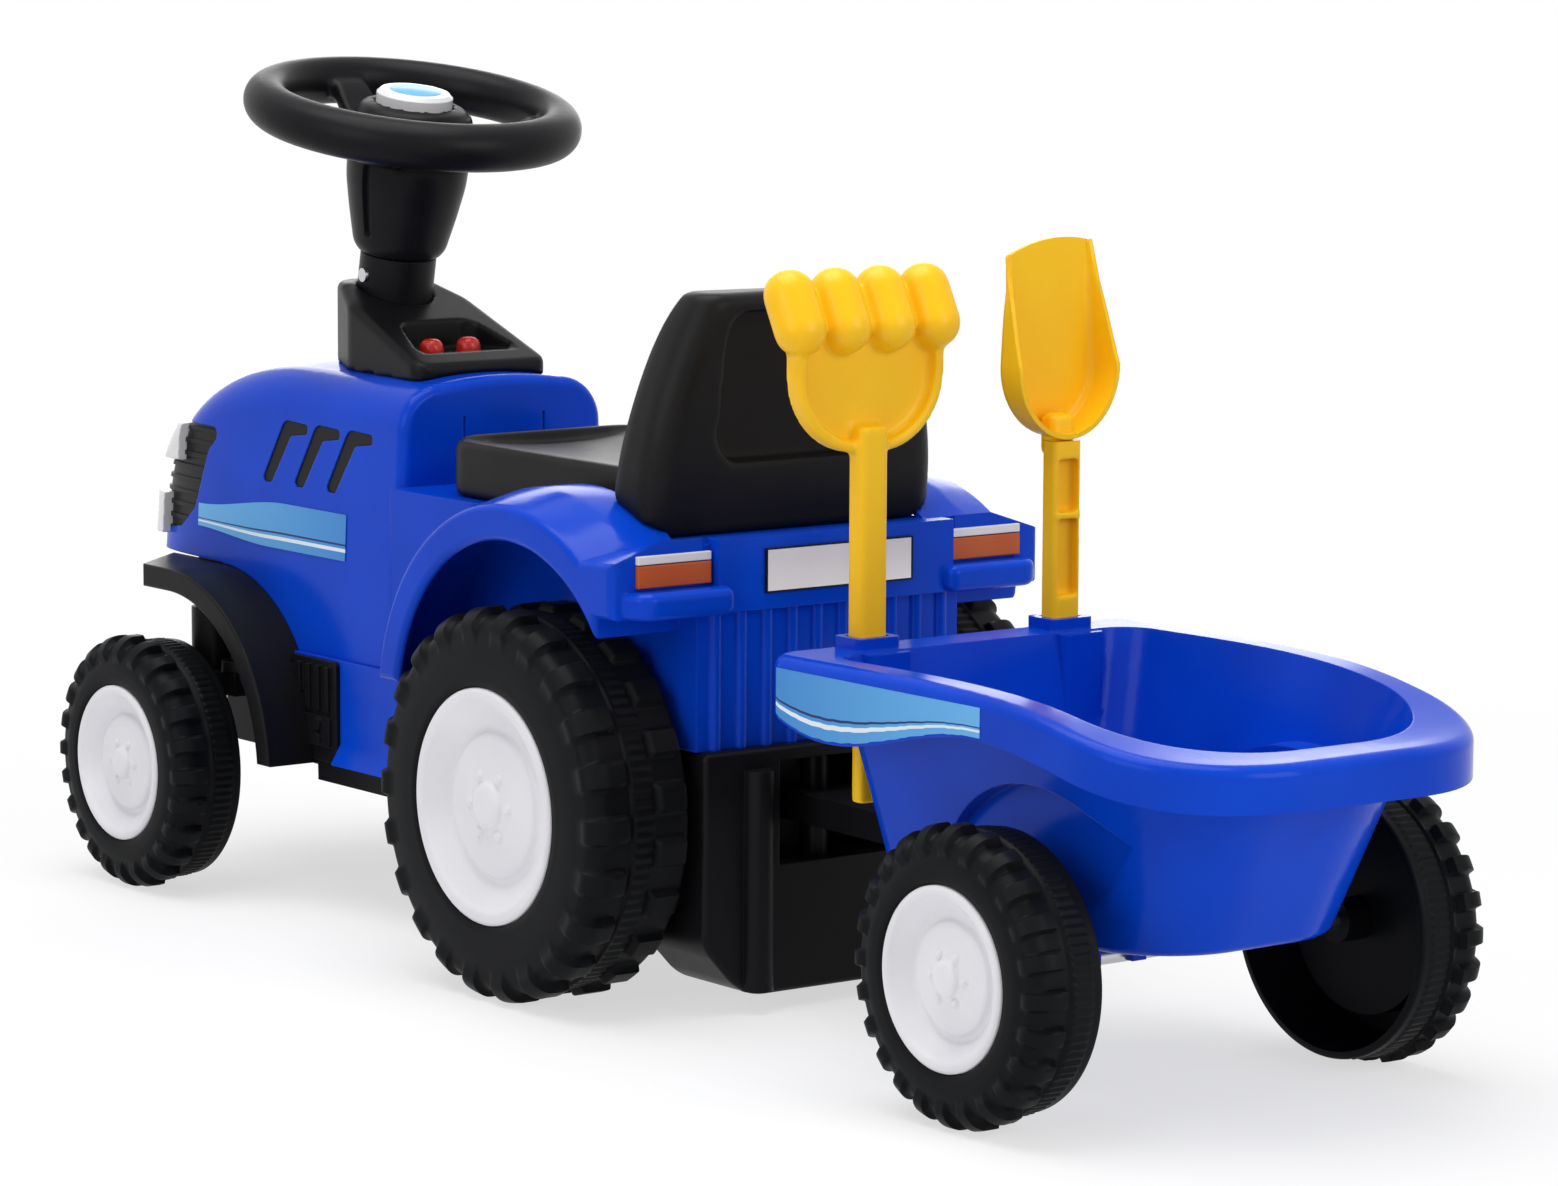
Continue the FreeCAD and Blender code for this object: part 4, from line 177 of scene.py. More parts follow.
def melted_copy(node, finish, voxel_mm, passes):
    """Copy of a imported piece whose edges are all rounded, as on a blow-moulded or soft-edged piece."""
    piece = smooth_copy(node, finish)
    piece.modifiers.clear()
    shell = piece.modifiers.new("shell", "REMESH")
    shell.mode = "VOXEL"
    shell.voxel_size = voxel_mm / 1000
    shell.use_smooth_shade = True
    soft = piece.modifiers.new("soft", "SMOOTH")
    soft.factor = 0.5
    soft.iterations = passes
    return piece


for node in ("head_lamps", "low_lamps", "tail_lamps_white"):
    melted_copy(node, white_gloss, voxel_mm=0.5, passes=4)
melted_copy("tail_lamps_orange", lamp_orange, voxel_mm=0.5, passes=4)

border_width = 0.0011
border_height = 0.0004
low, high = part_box("number_plate")
plate = bmesh.new()
bmesh.ops.create_cube(plate, size=1.0)
bmesh.ops.scale(plate, vec=high - low, verts=plate.verts)
bmesh.ops.translate(plate, vec=(low + high) / 2, verts=plate.verts)
plate_face = min(plate.faces, key=lambda face: face.calc_center_median().x)
bmesh.ops.inset_region(plate, faces=[plate_face], thickness=border_width, depth=-border_height)
number_plate = stand_in("bare_plate", mesh_from(plate, "bare_plate", crease=30), white_gloss, "number_plate")
number_plate.data.materials.append(black_satin)
for face in number_plate.data.polygons:
    sunken = face.center.x > low.x + border_height / 2
    face.material_index = 0 if face.normal.x < -0.9 and sunken else 1

# Wheels: blow-moulded black polyethylene, open on the inner side, with a row of rounded lugs that wraps
# over the outer shoulder, a raised mould seam and a band of fine ribs. The rear wheels have a second row of
# lugs. Each runs on its axle by a hub tube and is closed by a white snap-in hub cap.
tyre_black = moulded_plastic("black_polyethylene_tyre", "#151618", "#111214", roughness=0.42, grain_mm=1.4,
                             grain_depth_mm=0.02, edge_mm=0.4, sheen=0.06)
hub_white = moulded_plastic("white_polypropylene_hub", "#e6e5e9", "#dddce1", roughness=0.32, grain_mm=0.8,
                            grain_depth_mm=0.004, edge_mm=0.4, sheen=0.25)


def eased(low, high, at):
    """Smooth step from 0 at low to 1 at high."""
    share = min(1.0, max(0.0, (at - low) / (high - low)))
    return share * share * (3 - 2 * share)


def rounded_line(points, radius):
    """Open line through points with its inner corners rounded."""
    line = [Vector(points[0])]
    for before, corner, after in zip(points, points[1:], points[2:]):
        corner = Vector(corner)
        back = Vector(before) - corner
        ahead = Vector(after) - corner
        run = min(radius, 0.45 * back.length, 0.45 * ahead.length)
        start = corner + back.normalized() * run
        end = corner + ahead.normalized() * run
        for share in (0, 0.25, 0.5, 0.75, 1):
            line.append(start.lerp(corner, share).lerp(corner.lerp(end, share), share))
    line.append(Vector(points[-1]))
    return line


def filled_line(points, step):
    """The same line with more points, so that none are further apart than a step."""
    line = [Vector(points[0])]
    for before, after in zip(points, points[1:]):
        before = Vector(before)
        after = Vector(after)
        count = max(1, math.ceil((after - before).length / step))
        line += [before.lerp(after, index / count) for index in range(1, count + 1)]
    return line


def turned(section, steps, closed=False):
    """Shape turned about the upright axis from a section of (radius, height) in millimetres."""
    work = bmesh.new()
    spots = [work.verts.new((max(radius, 0.0) / 1000, 0, height / 1000)) for radius, height in section]
    edges = [work.edges.new(pair) for pair in zip(spots, spots[1:])]
    if closed:
        edges.append(work.edges.new((spots[-1], spots[0])))
    bmesh.ops.spin(work, geom=spots + edges, cent=(0, 0, 0), axis=(0, 0, 1), angle=2 * math.pi, steps=steps,
                   use_merge=True)
    bmesh.ops.remove_doubles(work, verts=work.verts, dist=0.000005)
    return work


# Millimetres: height of the lugs, then how far the rounded shoulder falls from the tread, the depth at which
# it starts and the depth that it takes up, the skin under the tread, the hub tube and its bore.
lug_height = 4.2
shoulder_drop = 8.0
shoulder_depth = 11.0
shoulder_run = 9.5
tread_skin = 3.5
tube_radius = 10
bore_radius = 4.1


def tyre_section(tread, width, hub):
    """Closed section of a wheel as (radius, depth from the hub face), from the inner edge over the tread."""
    row_spacing = 1.1
    web_face = 16
    web_back = 19.5
    flat = width - 2 - shoulder_depth
    count = round((flat + 1) / row_spacing)
    section = [(tread - tread_skin, width), (tread - 0.8, width), (tread, width - 0.8)]
    section += [(tread, width - 2 - flat * step / count) for step in range(count + 1)]
    for step in range(1, 11):
        turn = math.radians(9 * step)
        section.append((tread - shoulder_drop * (1 - math.cos(turn)),
                        shoulder_depth - shoulder_run * math.sin(turn)))
    wall = tread - shoulder_drop
    rim = hub + 5
    section += [(wall + (rim - wall) * share, 1.5 - 1.1 * share - 0.5 * math.sin(math.pi * share))
                for share in (0.15, 0.3, 0.5, 0.7, 0.85, 1.0)]
    section += [(hub + 1.5, 0.3), (hub + 0.3, 1.4), (hub + 0.3, web_face), (tube_radius, web_face),
                (tube_radius, 12), (bore_radius, 12), (bore_radius, width - 4), (tube_radius, width - 4),
                (tube_radius, web_back), (hub + 3.8, web_back), (hub + 3.8, 5.5), (tread - 9, 5.5),
                (tread - tread_skin, 13)]
    return section


def lug_row(shift, pitch, start, end, depth):
    """Share of the lug height at a distance from the middle of a lug and a depth across the tread."""
    aside = abs((shift + pitch / 2) % pitch - pitch / 2)
    across = 1 - eased(0.21 * pitch, 0.27 * pitch, aside)
    return across * eased(start, start + 1.6, depth) * eased(end, end - 1.6, depth)


def tread_relief(depth, turn, tread, width, lugs, band, double):
    """Height over the tread of lugs, seam and fine ribs at a depth and an angle."""
    seam_height = 1.3
    rib_height = 0.8
    ribs_per_lug = 5 if double else 4
    along = tread * turn
    pitch = 2 * math.pi * tread / lugs
    seam = band + 3.2
    ribs_end = seam + 12 if double else width - 6
    relief = lug_height * lug_row(along - 0.06 * (depth - 6), pitch, -4, band, depth)
    relief = max(relief, seam_height * (1 - eased(0.5, 1.1, abs(depth - seam))))
    rib_place = (turn * lugs * ribs_per_lug / (2 * math.pi)) % 1
    if seam + 1.5 < depth < ribs_end and rib_place < 0.5:
        relief = max(relief, rib_height)
    if double:
        second_row = lug_row(along + pitch / 2, pitch, ribs_end + 0.5, width - 1.8, depth)
        relief = max(relief, lug_height * second_row)
    return relief


def tyre(radius, width, hub, lugs, band, steps, double):
    """Tyre turned from its section, with the tread raised from its surface."""
    tread = radius - lug_height
    section = tyre_section(tread, width, hub)
    work = turned([(near, -depth) for near, depth in section], lugs * steps, closed=True)
    for vert in work.verts:
        near = 1000 * math.hypot(vert.co.x, vert.co.y)
        depth = -1000 * vert.co.z
        shoulder = depth < shoulder_depth + 0.01 and near > tread - shoulder_drop - 0.3
        if not shoulder and (near < tread - 0.01 or depth > width - 1):
            continue
        turn = math.atan2(vert.co.y, vert.co.x)
        lift = tread_relief(depth, turn, tread, width, lugs, band, double)
        lift *= 0.4 + 0.6 * eased(tread - shoulder_drop - 0.5, tread - tread_skin, near)
        lean = math.pi / 2 * min(1.0, max(0.0, (shoulder_depth - depth) / shoulder_run))
        reach = near + lift * math.cos(lean)
        vert.co = (reach * math.cos(turn) / 1000, reach * math.sin(turn) / 1000,
                   (0.6 * lift * math.sin(lean) - depth) / 1000)
    return work


def hub_cap(hub):
    """Hub cap turned from its section: rolled rim, hollow cone, raised disc with six studs, and boss."""
    front = [(0, -1.2), (0.15 * hub, -1.2), (0.19 * hub, -2.0), (0.21 * hub, -4.0), (0.34 * hub, -4.6),
             (0.56 * hub, -5.6), (0.60 * hub, -6.2), (0.63 * hub, -8.8), (0.69 * hub, -8.6),
             (0.86 * hub, -1.6), (0.90 * hub, 0.4), (hub - 1.4, 0.5), (hub, -0.8)]
    back = [(hub, -7), (hub - 2.2, -7), (hub - 2.2, -3), (0.9 * hub, -2.8), (0.71 * hub, -11),
            (0.20 * hub, -9.6), (0.16 * hub, -5), (0, -5)]
    section = filled_line(rounded_line(front, 2.2), 1.0) + [Vector(point) for point in back]
    work = turned(section, 120)
    stud_ring = 0.28 * hub / 1000
    stud_height = 0.0016
    disc_back = -0.0068
    sixth = math.pi / 3
    for vert in work.verts:
        if vert.co.z < disc_back or vert.co.xy.length > 0.4 * hub / 1000:
            continue
        turn = round(math.atan2(vert.co.y, vert.co.x) / sixth) * sixth
        stud = Vector((stud_ring * math.cos(turn), stud_ring * math.sin(turn)))
        aside = 1000 * (vert.co.xy - stud).length
        vert.co.z += stud_height * (1 - eased(0.035 * hub, 0.06 * hub, aside))
    return work


for name in ("front_left", "front_right", "rear_left", "rear_right", "trailer_left", "trailer_right"):
    low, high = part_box(name + "_tyre")
    side = 1 if name.endswith("left") else -1
    face = max(abs(low.y), abs(high.y))
    axle = Vector(((low.x + high.x) / 2, side * face, (low.z + high.z) / 2))
    place = Matrix.Translation(axle) @ Matrix.Rotation(math.radians(-90 * side), 4, "X")
    if name.startswith("rear"):
        moulding = tyre(radius=95, width=56, hub=57, lugs=22, band=21, steps=20, double=True)
        cap = hub_cap(hub=57)
    else:
        moulding = tyre(radius=67, width=39, hub=41, lugs=24, band=18, steps=16, double=False)
        cap = hub_cap(hub=41)
    for work, kind, finish in ((moulding, "tyre", tyre_black), (cap, "hub_cap", hub_white)):
        work.transform(place)
        shape_name = f"{name}_{kind}_moulding"
        stand_in(shape_name, mesh_from(work, shape_name, crease=50), finish, f"{name}_{kind}")

# Running gear: zinc-plated steel axles, kingpins and rods, with black push-on caps, steering arms and a tie
# rod. The rods are drawn and cropped; the caps are pressed on their ends and the arms clamp on the kingpins.
streak_mm = 0.5
steel = bpy.data.materials.new("zinc_plated_steel")
steel.use_nodes = True
tree = steel.node_tree
shader = tree.nodes["Principled BSDF"]
place = add_node(tree, "ShaderNodeTexCoord", {})
drawn = add_node(tree, "ShaderNodeMapping", {"Scale": (1.0, 0.02, 1.0)}, [(place, "Object", "Vector")])
streaks = add_node(tree, "ShaderNodeTexNoise", {"Scale": 1000 / streak_mm, "Detail": 3.0},
                   [(drawn, "Vector", "Vector")])
shine = add_node(tree, "ShaderNodeMapRange", {"To Min": 0.22, "To Max": 0.42}, [(streaks, "Fac", "Value")])
scratches = add_node(tree, "ShaderNodeBump", {"Strength": 0.4, "Distance": 0.00002},
                     [(streaks, "Fac", "Height")])
tree.links.new(shine.outputs["Result"], shader.inputs["Roughness"])
tree.links.new(scratches.outputs["Normal"], shader.inputs["Normal"])
shader.inputs["Metallic"].default_value = 1.0
shader.inputs["Base Color"].default_value = linear("#c9cacd")
for node in ("rear_axle", "trailer_axle", "left_kingpin", "right_kingpin", "steering_rod", "seat_hinge_pin",
             "body_screws", "column_screw", "drawbar_screws"):
    smooth_copy(node, steel)
for node in ("left_kingpin_caps", "right_kingpin_caps", "rear_axle_caps", "trailer_axle_caps",
             "left_steering_arm", "right_steering_arm", "tie_rod"):
    smooth_copy(node, black_satin)

# Steering: a three-spoke wheel on a tapered boss and sleeve, and the dash console with its two red buttons.
# All but the buttons are black polypropylene with rounded edges; the wheel is two shells joined round the grip.


def final_mesh(piece):
    """Mesh of a piece after its modifiers."""
    return bpy.data.meshes.new_from_object(piece.evaluated_get(bpy.context.evaluated_depsgraph_get()))


def reshaped(piece, move):
    """Applies a piece's modifiers and moves each point of the result."""
    work = bmesh.new()
    work.from_mesh(final_mesh(piece))
    for vert in work.verts:
        move(vert)
    finish = piece.data.materials[0]
    piece.modifiers.clear()
    piece.data = mesh_from(work, piece.name, crease=60)
    piece.data.materials.clear()
    piece.data.materials.append(finish)


column = Matrix.Translation((0.282, 0, 0.409)) @ Matrix.Rotation(math.radians(-11), 4, "Y")
ring_radius = 0.076
grip_inside = 0.062
grip_flatness = 0.84
spoke_drop = 0.013
horn_seat_radius = 0.0205
horn_seat_floor = -0.0102
horn_seat_mouth = 0.001


def dish_spokes(vert):
    """Lowers the spokes' roots, flattens the inner side of the grip and clears the seat of the horn push."""
    spot = column.inverted() @ vert.co
    out = spot.xy.length
    spot.z -= spoke_drop * eased(0.0305, 0.034, out) * (1 - eased(0.038, 0.066, out))
    if grip_inside < out < ring_radius:
        spot.xy *= (ring_radius + grip_flatness * (out - ring_radius)) / out
    if out < horn_seat_radius and horn_seat_floor < spot.z < horn_seat_mouth:
        if horn_seat_radius - out < spot.z - horn_seat_floor:
            spot.xy *= horn_seat_radius / out
        else:
            spot.z = horn_seat_floor
    vert.co = column @ spot


ledge_front = 0.237
ledge_height = 0.2885


def open_ledge(vert):
    """Takes down the lip of the dash behind the buttons to the level of their ledge."""
    if vert.co.x < ledge_front and vert.co.z > ledge_height:
        vert.co.z = ledge_height + (vert.co.z - ledge_height) * eased(0.024, 0.031, abs(vert.co.y))


reshaped(melted_copy("steering_wheel", black_satin, voxel_mm=1.3, passes=6), dish_spokes)
reshaped(melted_copy("dash_console", black_satin, voxel_mm=1.1, passes=4), open_ledge)
smooth_copy("column_sleeve", black_satin)

boss_line = [(0, -74.7), (21, -74.7), (24.4, -70), (28.4, -52), (31.4, -36), (32, -25), (28.5, -18.5),
             (24, -16.3), (0, -16.3)]
slot_turn = math.radians(105)
slot_half_turn = 0.05
slot_foot = -0.062
slot_top = -0.022
slot_reach = 0.91
boss = turned(filled_line(rounded_line(boss_line, 4), 2), 144)
for vert in boss.verts:
    aside = abs(math.atan2(vert.co.y, vert.co.x))
    on_side = slot_foot < vert.co.z < slot_top and vert.co.xy.length > 0.02
    if on_side and abs(aside - slot_turn) < slot_half_turn:
        vert.co.xy *= slot_reach
boss.transform(column)
stand_in("boss_moulding", mesh_from(boss, "boss_moulding", crease=40), black_satin, "steering_boss")

red_gloss = moulded_plastic("red_styrene_gloss", "#d3322b", "#c22822", roughness=0.22, grain_mm=1.0,
                            grain_depth_mm=0.003, edge_mm=0.8, sheen=0.3)
button_line = [(0, 7.6), (3.8, 7.1), (5.9, 4.9), (6.4, 2), (6.4, -2.6), (0, -2.6)]
button_foot = 0.0027
for node in ("left_button", "right_button"):
    low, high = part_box(node)
    button = turned(rounded_line(button_line, 2), 64)
    button.transform(Matrix.Translation(((low.x + high.x) / 2, (low.y + high.y) / 2, low.z + button_foot)))
    stand_in(node + "_dome", mesh_from(button, node + "_dome", crease=40), red_gloss, node)

# Horn push: a white drum in the middle of the steering wheel with a plain light blue disc set into its top.
# The drum is moulded styrene; the disc is a printed vinyl film.
smooth_copy("horn_button", white_gloss)
film_blue = moulded_plastic("light_blue_vinyl_film", "#6fb2e6", "#66a9de", roughness=0.3, grain_mm=2.0,
                            grain_depth_mm=0.002, edge_mm=0.2, sheen=0.25)
disc = turned([(0, 13.35), (13.2, 12.62), (13.6, 12.4), (13.6, 12.0), (0, 12.8)], 72)
disc.transform(column)
disc_mesh = mesh_from(disc, "horn_disc", crease=40)
disc_mesh.materials.append(film_blue)
horn_disc = placed("horn_disc", disc_mesh)
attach(horn_disc, "horn")

# Seat: one hollow black moulding with its backrest, hinged at the front edge over the storage tray.
# The skin is satin with a fine leather-like mould grain and every edge is well rounded.
seat_black = moulded_plastic("black_polypropylene_grained", "#191818", "#131212", roughness=0.42, grain_mm=1.6,
                             grain_depth_mm=0.03, edge_mm=1.0, sheen=0.12)
melted_copy("seat", seat_black, voxel_mm=1.8, passes=8)

# Trailer: a blue tub with a rolled rim on a black drawbar, moulded like the body.
# The drawbar is screwed under the tub and drops over the hitch pin.
smooth_copy("trailer_tub", blue_gloss)
smooth_copy("drawbar", black_satin)

# Stripe films: light blue vinyl stuck on both sides of the hood and of the tub's rim, printed with two plain
# stripes. Each is a thin sheet that follows the curve under it.
mottle_mm = 6
stripe_film = bpy.data.materials.new("printed_vinyl_film")
stripe_film.use_nodes = True
tree = stripe_film.node_tree
shader = tree.nodes["Principled BSDF"]
place = add_node(tree, "ShaderNodeTexCoord", {})
apart = add_node(tree, "ShaderNodeSeparateXYZ", {}, [(place, "UV", "Vector")])
field = add_node(tree, "ShaderNodeValToRGB", {}, [(apart, "X", "Fac")])
field.color_ramp.elements[0].color = linear("#3d86cb")
field.color_ramp.elements[1].color = linear("#67b1e8")
stripes = add_node(tree, "ShaderNodeValToRGB", {}, [(apart, "Y", "Fac")])
stripes.color_ramp.interpolation = "CONSTANT"
stripes.color_ramp.elements[0].color = linear("#dfe9f2")
stripes.color_ramp.elements[1].position = 0.30
stripes.color_ramp.elements[1].color = linear("#16306e")
printed = add_node(tree, "ShaderNodeValToRGB", {}, [(apart, "Y", "Fac")])
printed.color_ramp.interpolation = "CONSTANT"
printed.color_ramp.elements.remove(printed.color_ramp.elements[1])
printed.color_ramp.elements[0].color = (0, 0, 0, 1)
for position, shown in ((0.18, 1), (0.26, 0), (0.32, 1), (0.36, 0)):
    printed.color_ramp.elements.new(position).color = (shown, shown, shown, 1)
ink = add_node(tree, "ShaderNodeMix", {"data_type": "RGBA"},
               [(printed, "Color", 0), (field, "Color", 6), (stripes, "Color", 7)])
tree.links.new(ink.outputs[2], shader.inputs["Base Color"])
mottle = add_node(tree, "ShaderNodeTexNoise", {"Scale": 1000 / mottle_mm, "Detail": 2.0},
                  [(place, "Object", "Vector")])
shine = add_node(tree, "ShaderNodeMapRange", {"To Min": 0.26, "To Max": 0.34}, [(mottle, "Fac", "Value")])
tree.links.new(shine.outputs["Result"], shader.inputs["Roughness"])
shader.inputs["Specular IOR Level"].default_value = 0.2


def surface_of(node):
    """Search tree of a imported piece's surface."""
    work = bmesh.new()
    work.from_mesh(frame["nodes"][node].data)
    found = BVHTree.FromBMesh(work)
    work.free()
    return found


clear_of_sides = 0.3
film_gap = 0.0003
film_thickness = 0.00025
film_steps = 48


def stripe(name, surface, side, outline, body):
    """Film on one side of a surface: outline gives the lower and upper edge at each place along it."""
    work = bmesh.new()
    bmesh.ops.create_grid(work, x_segments=film_steps, y_segments=10, size=0.5)
    prints = work.loops.layers.uv.new("print")
    for face in work.faces:
        for loop in face.loops:
            loop[prints].uv = loop.vert.co.xy + Vector((0.5, 0.5))
    for vert in work.verts:
        along, low, high = outline[round((vert.co.x + 0.5) * film_steps)]
        up = low + (high - low) * (vert.co.y + 0.5)
        outside = Vector((along, clear_of_sides * side, up))
        spot, facing = surface.ray_cast(outside, Vector((0, -side, 0)))[:2]
        facing = facing if facing.y * side > 0 else -facing
        vert.co = spot + film_gap * facing
    mesh = mesh_from(work, name, crease=60)
    mesh.materials.append(stripe_film)
    film = placed(name, mesh)
    thickness = film.modifiers.new("thickness", "SOLIDIFY")
    thickness.thickness = film_thickness
    thickness.offset = -side
    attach(film, body)


hood_line = []
for step in range(film_steps + 1):
    share = step / film_steps
    lower = 0.182 + 0.004 * eased(0.5, 1, share)
    upper = 0.206 - 0.008 * eased(0.4, 1, share)
    hood_line.append((0.248 + 0.148 * share, lower, upper))

# The film on the rim reaches down to the edge of the rolled skirt, which is searched for in small steps.
search_step = 0.0005
skirt_depth = 0.005
edge_margin = 0.0012
inward = Vector((0, -1, 0))
rim_surface = surface_of("trailer_tub")
film_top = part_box("trailer_tub")[1].z - 0.011
rim_line = []
for step in range(film_steps + 1):
    along = -0.176 - 0.146 * step / film_steps
    start = rim_surface.ray_cast(Vector((along, clear_of_sides, film_top)), inward)[0]
    edge = film_top
    while True:
        spot = rim_surface.ray_cast(Vector((along, clear_of_sides, edge - search_step)), inward)[0]
        if spot is None or spot.y < start.y - skirt_depth:
            break
        edge -= search_step
    rim_line.append((along, edge + edge_margin, film_top))
for side, label in ((1, "left"), (-1, "right")):
    stripe("hood_stripe_" + label, surface_of("hood"), side, hood_line, "chassis")
    stripe("rim_stripe_" + label, rim_surface, side, rim_line, "trailer")

# Hand tools: a rake and a shovel moulded in yellow polyethylene, slightly waxy, with rounded edges.
# Their stems stand loose in the two sockets at the front of the tub.
tool_yellow = moulded_plastic("yellow_polyethylene_waxy", "#fec716", "#fbc012", roughness=0.34, grain_mm=6.0,
                              grain_depth_mm=0.015, edge_mm=0.8, sheen=0.25, subsurface=0.12)
melted_copy("rake", tool_yellow, voxel_mm=1.2, passes=9)

# The scoop is drawn in its own plane in millimetres, up from its foot on the stem.
scoop_height = 92.0
scoop_waist = 33.0
scoop_half_width = 29.5
tip_half_width = 24.5
scoop_depth = 19.0
tip_depth = 1.5
tip_drop = 8.0
corner_round = 6.0
scoop_wall = 2.4
scoop_back = 13.6
side_share = 0.3
low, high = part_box("shovel")
scoop_foot = high.z - scoop_height / 1000
stem_middle = Vector((-0.180, (low.y + high.y) / 2, scoop_foot))


def scoop_edge(share):
    """Point of the scoop's edge, from the left of the tip round the foot, and the point it is drawn from."""
    if side_share < share < 1 - side_share:
        turn = math.pi * (share - side_share) / (1 - 2 * side_share)
        return (Vector((scoop_half_width * math.cos(turn), scoop_waist * (1 - math.sin(turn)))),
                Vector((0, scoop_waist)))
    down = share / side_share if share < 0.5 else (1 - share) / side_share
    up = scoop_height + (scoop_waist - scoop_height) * down
    reach = tip_half_width + (scoop_half_width - tip_half_width) * down * (1.5 - 0.5 * down)
    return Vector((reach if share < 0.5 else -reach, up)), Vector((0, up))


floor_share = 0.6
bend_share = 0.2
wall_start = 0.8
scoop = bmesh.new()
bmesh.ops.create_grid(scoop, x_segments=80, y_segments=28, size=0.5)
for vert in scoop.verts:
    across = vert.co.y + 0.5
    edge, heart = scoop_edge(vert.co.x + 0.5)
    open_share = max(0.0, (edge.y - scoop_waist) / (scoop_height - scoop_waist))
    depth = scoop_depth - (scoop_depth - tip_depth) * open_share ** 0.9
    round_off = min(corner_round, 0.9 * depth)
    outward = (edge - heart).normalized()
    bend = math.pi / 2 * min(1.0, max(0.0, (across - floor_share) / bend_share))
    rise = max(0.0, (across - wall_start) / bend_share)
    flat = heart.lerp(edge - outward * round_off, min(1.0, across / floor_share))
    flat += outward * (round_off * math.sin(bend) + 0.8 * rise)
    lift = round_off * (1 - math.cos(bend)) + (depth - round_off) * rise
    tip = (flat.x / tip_half_width + 0.35) / 1.35
    flat.y -= tip_drop * tip * tip * eased(55, scoop_height, flat.y)
    vert.co = stem_middle + Vector((scoop_back - lift, flat.x, flat.y)) / 1000
bmesh.ops.remove_doubles(scoop, verts=scoop.verts, dist=0.00001)
bmesh.ops.recalc_face_normals(scoop, faces=scoop.faces)
if max(scoop.faces, key=lambda face: face.calc_center_median().x).normal.x < 0:
    bmesh.ops.reverse_faces(scoop, faces=scoop.faces)
bmesh.ops.solidify(scoop, geom=scoop.faces[:], thickness=scoop_wall / 1000)

tongue_size = (0.011, 0.0145, 0.020)
tongue_round = 0.004
tongue = bmesh.ops.create_cube(scoop, size=1.0)["verts"]
bmesh.ops.scale(scoop, vec=tongue_size, verts=tongue)
bmesh.ops.translate(scoop, vec=stem_middle + Vector((0.0035, 0, 0.001)), verts=tongue)
tongue_edges = [edge for edge in scoop.edges if edge.verts[0] in tongue and edge.verts[1] in tongue]
bmesh.ops.bevel(scoop, geom=tongue_edges, offset=tongue_round, segments=4, profile=0.5, affect="EDGES",
                material=-1)
scoop_mesh = mesh_from(scoop, "scoop", crease=50)

stem_end = stem_middle - Vector((0, 0, 0.0016))
shovel = melted_copy("shovel", tool_yellow, voxel_mm=1.0, passes=4)
stem = bmesh.new()
stem.from_mesh(final_mesh(shovel))
cut = bmesh.ops.bisect_plane(stem, geom=stem.verts[:] + stem.edges[:] + stem.faces[:], plane_co=stem_end,
                             plane_no=(0, 0, 1), clear_outer=True)
cut_edges = [item for item in cut["geom_cut"] if isinstance(item, bmesh.types.BMEdge)]
bmesh.ops.holes_fill(stem, edges=cut_edges)
stem.from_mesh(scoop_mesh)
shovel.modifiers.clear()
shovel.data = mesh_from(stem, "shovel_moulding", crease=50)
shovel.data.materials.append(tool_yellow)

# Studio: a pale seamless floor that fades to the white backdrop, soft lamps from above and from the sides,
# and the camera of the picture.


def shown_rays(tree):
    """Node that is 1 for the rays that show a backdrop: straight, mirrored or through clear pieces."""
    rays = add_node(tree, "ShaderNodeLightPath", {})
    seen = add_node(tree, "ShaderNodeMath", {"operation": "MAXIMUM"},
                    [(rays, "Is Camera Ray", 0), (rays, "Is Glossy Ray", 1)])
    return add_node(tree, "ShaderNodeMath", {"operation": "MAXIMUM"},
                    [(seen, "Value", 0), (rays, "Is Transmission Ray", 1)])


floor_data = bpy.data.meshes.new("studio_floor")
floor_mesh = bmesh.new()
bmesh.ops.create_grid(floor_mesh, x_segments=1, y_segments=1, size=12.0)
floor_mesh.to_mesh(floor_data)
floor_mesh.free()
placed("studio_floor", floor_data)
paper = bpy.data.materials.new("pale_studio_paper")
paper.use_nodes = True
tree = paper.node_tree
tree.nodes.remove(tree.nodes["Principled BSDF"])
matt = add_node(tree, "ShaderNodeBsdfDiffuse", {"Color": linear("#f1f1f1")})
glow = add_node(tree, "ShaderNodeEmission", {"Color": (1, 1, 1, 1), "Strength": 1.0})
place = add_node(tree, "ShaderNodeTexCoord", {})
away = add_node(tree, "ShaderNodeVectorMath", {"operation": "LENGTH"}, [(place, "Object", 0)])
fade = add_node(tree, "ShaderNodeMapRange",
                {"From Min": 0.35, "From Max": 1.1, "To Min": 0.62, "To Max": 1.0}, [(away, "Value", "Value")])
share = add_node(tree, "ShaderNodeMath", {"operation": "MULTIPLY"},
                 [(shown_rays(tree), "Value", 0), (fade, "Result", 1)])
blend = add_node(tree, "ShaderNodeMixShader", {},
                 [(share, "Value", 0), (matt, "BSDF", 1), (glow, "Emission", 2)])
tree.links.new(blend.outputs["Shader"], tree.nodes["Material Output"].inputs["Surface"])
floor_data.materials.append(paper)

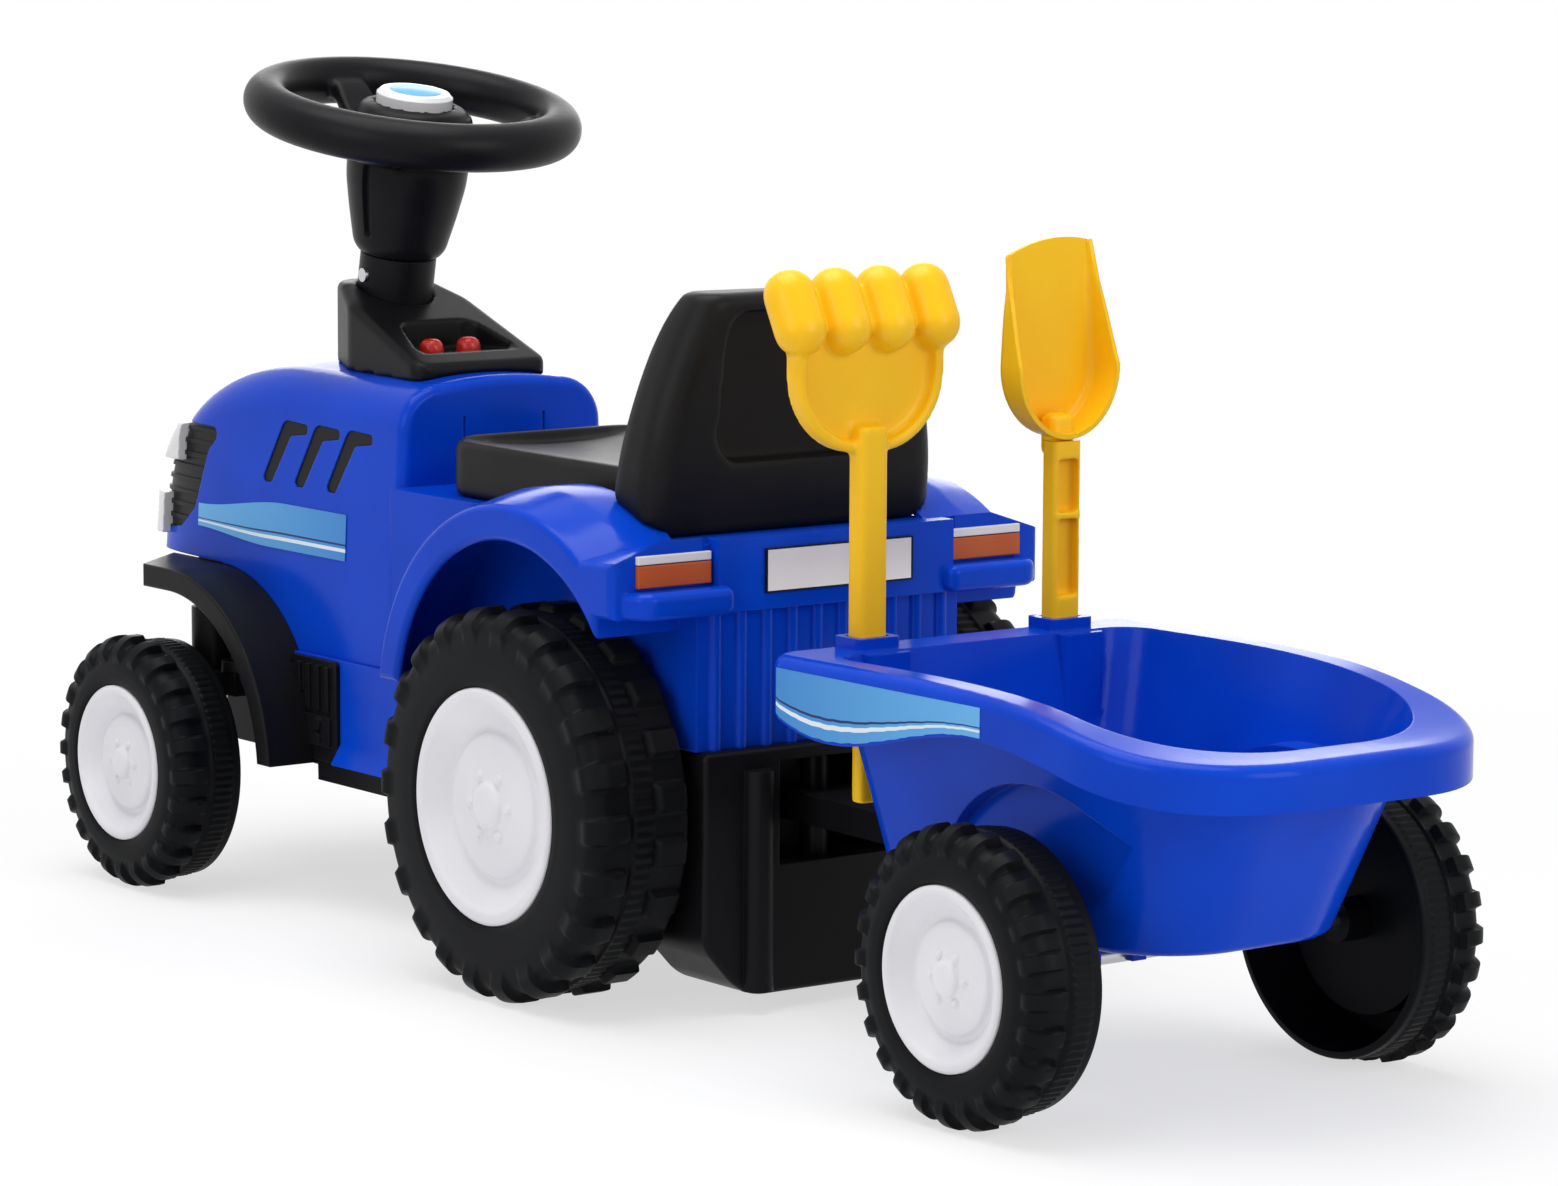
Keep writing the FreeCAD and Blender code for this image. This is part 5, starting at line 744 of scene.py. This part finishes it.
world = bpy.data.worlds.new("studio_white")
bpy.context.scene.world = world
world.use_nodes = True
tree = world.node_tree
room = tree.nodes["Background"]
room.inputs["Color"].default_value = (1, 1, 1, 1)
level = add_node(tree, "ShaderNodeMapRange", {"To Min": 0.30, "To Max": 1.0},
                 [(shown_rays(tree), "Value", "Value")])
tree.links.new(level.outputs["Result"], room.inputs["Strength"])


def soft_lamp(name, spot, aim, width, power):
    """Square soft box at a spot, facing an aim point."""
    lamp = bpy.data.lights.new(name, "AREA")
    lamp.size = width
    lamp.energy = power
    holder = placed(name, lamp)
    holder.location = spot
    holder.rotation_euler = (Vector(aim) - Vector(spot)).to_track_quat("-Z", "Y").to_euler()


soft_lamp("top_box", (0.1, 0.3, 2.4), (0, 0, 0.2), width=2.0, power=52)
soft_lamp("left_box", (-0.6, 2.6, 1.3), (0, 0, 0.2), width=1.6, power=17)
soft_lamp("rear_box", (-2.6, -0.6, 1.2), (-0.2, 0, 0.2), width=1.4, power=22)
soft_lamp("front_box", (2.4, -1.7, 0.9), (0, 0, 0.2), width=1.6, power=14)

# The camera stands where the picture was taken from; its focal length and centre are in the picture's pixels.
picture_width = 1558
picture_height = 1186
focal_length = 5613.93
centre_x = 767.96
centre_y = 659.75
camera_spot = Vector((-2.178532, 1.610035, 0.553925))
yaw = math.radians(-36.83)
pitch = math.radians(-8.37)
roll = math.radians(0.27)
ahead = Vector((math.cos(pitch) * math.cos(yaw), math.cos(pitch) * math.sin(yaw), math.sin(pitch)))
right = ahead.cross(Vector((0, 0, 1))).normalized()
above = right.cross(ahead)
rolled_right = right * math.cos(roll) + above * math.sin(roll)
rolled_above = above * math.cos(roll) - right * math.sin(roll)
camera_data = bpy.data.cameras.new("picture_camera")
camera_data.sensor_width = 36.0
camera_data.lens = focal_length / picture_width * 36.0
camera_data.shift_x = (picture_width / 2 - centre_x) / picture_width
camera_data.shift_y = (centre_y - picture_height / 2) / picture_width
camera_data.clip_end = 100.0
camera = placed("picture_camera", camera_data)
turn = Matrix((rolled_right, rolled_above, -ahead)).transposed().to_4x4()
turn.translation = camera_spot
camera.matrix_world = turn
bpy.context.scene.camera = camera
bpy.context.scene.view_settings.view_transform = "Standard"
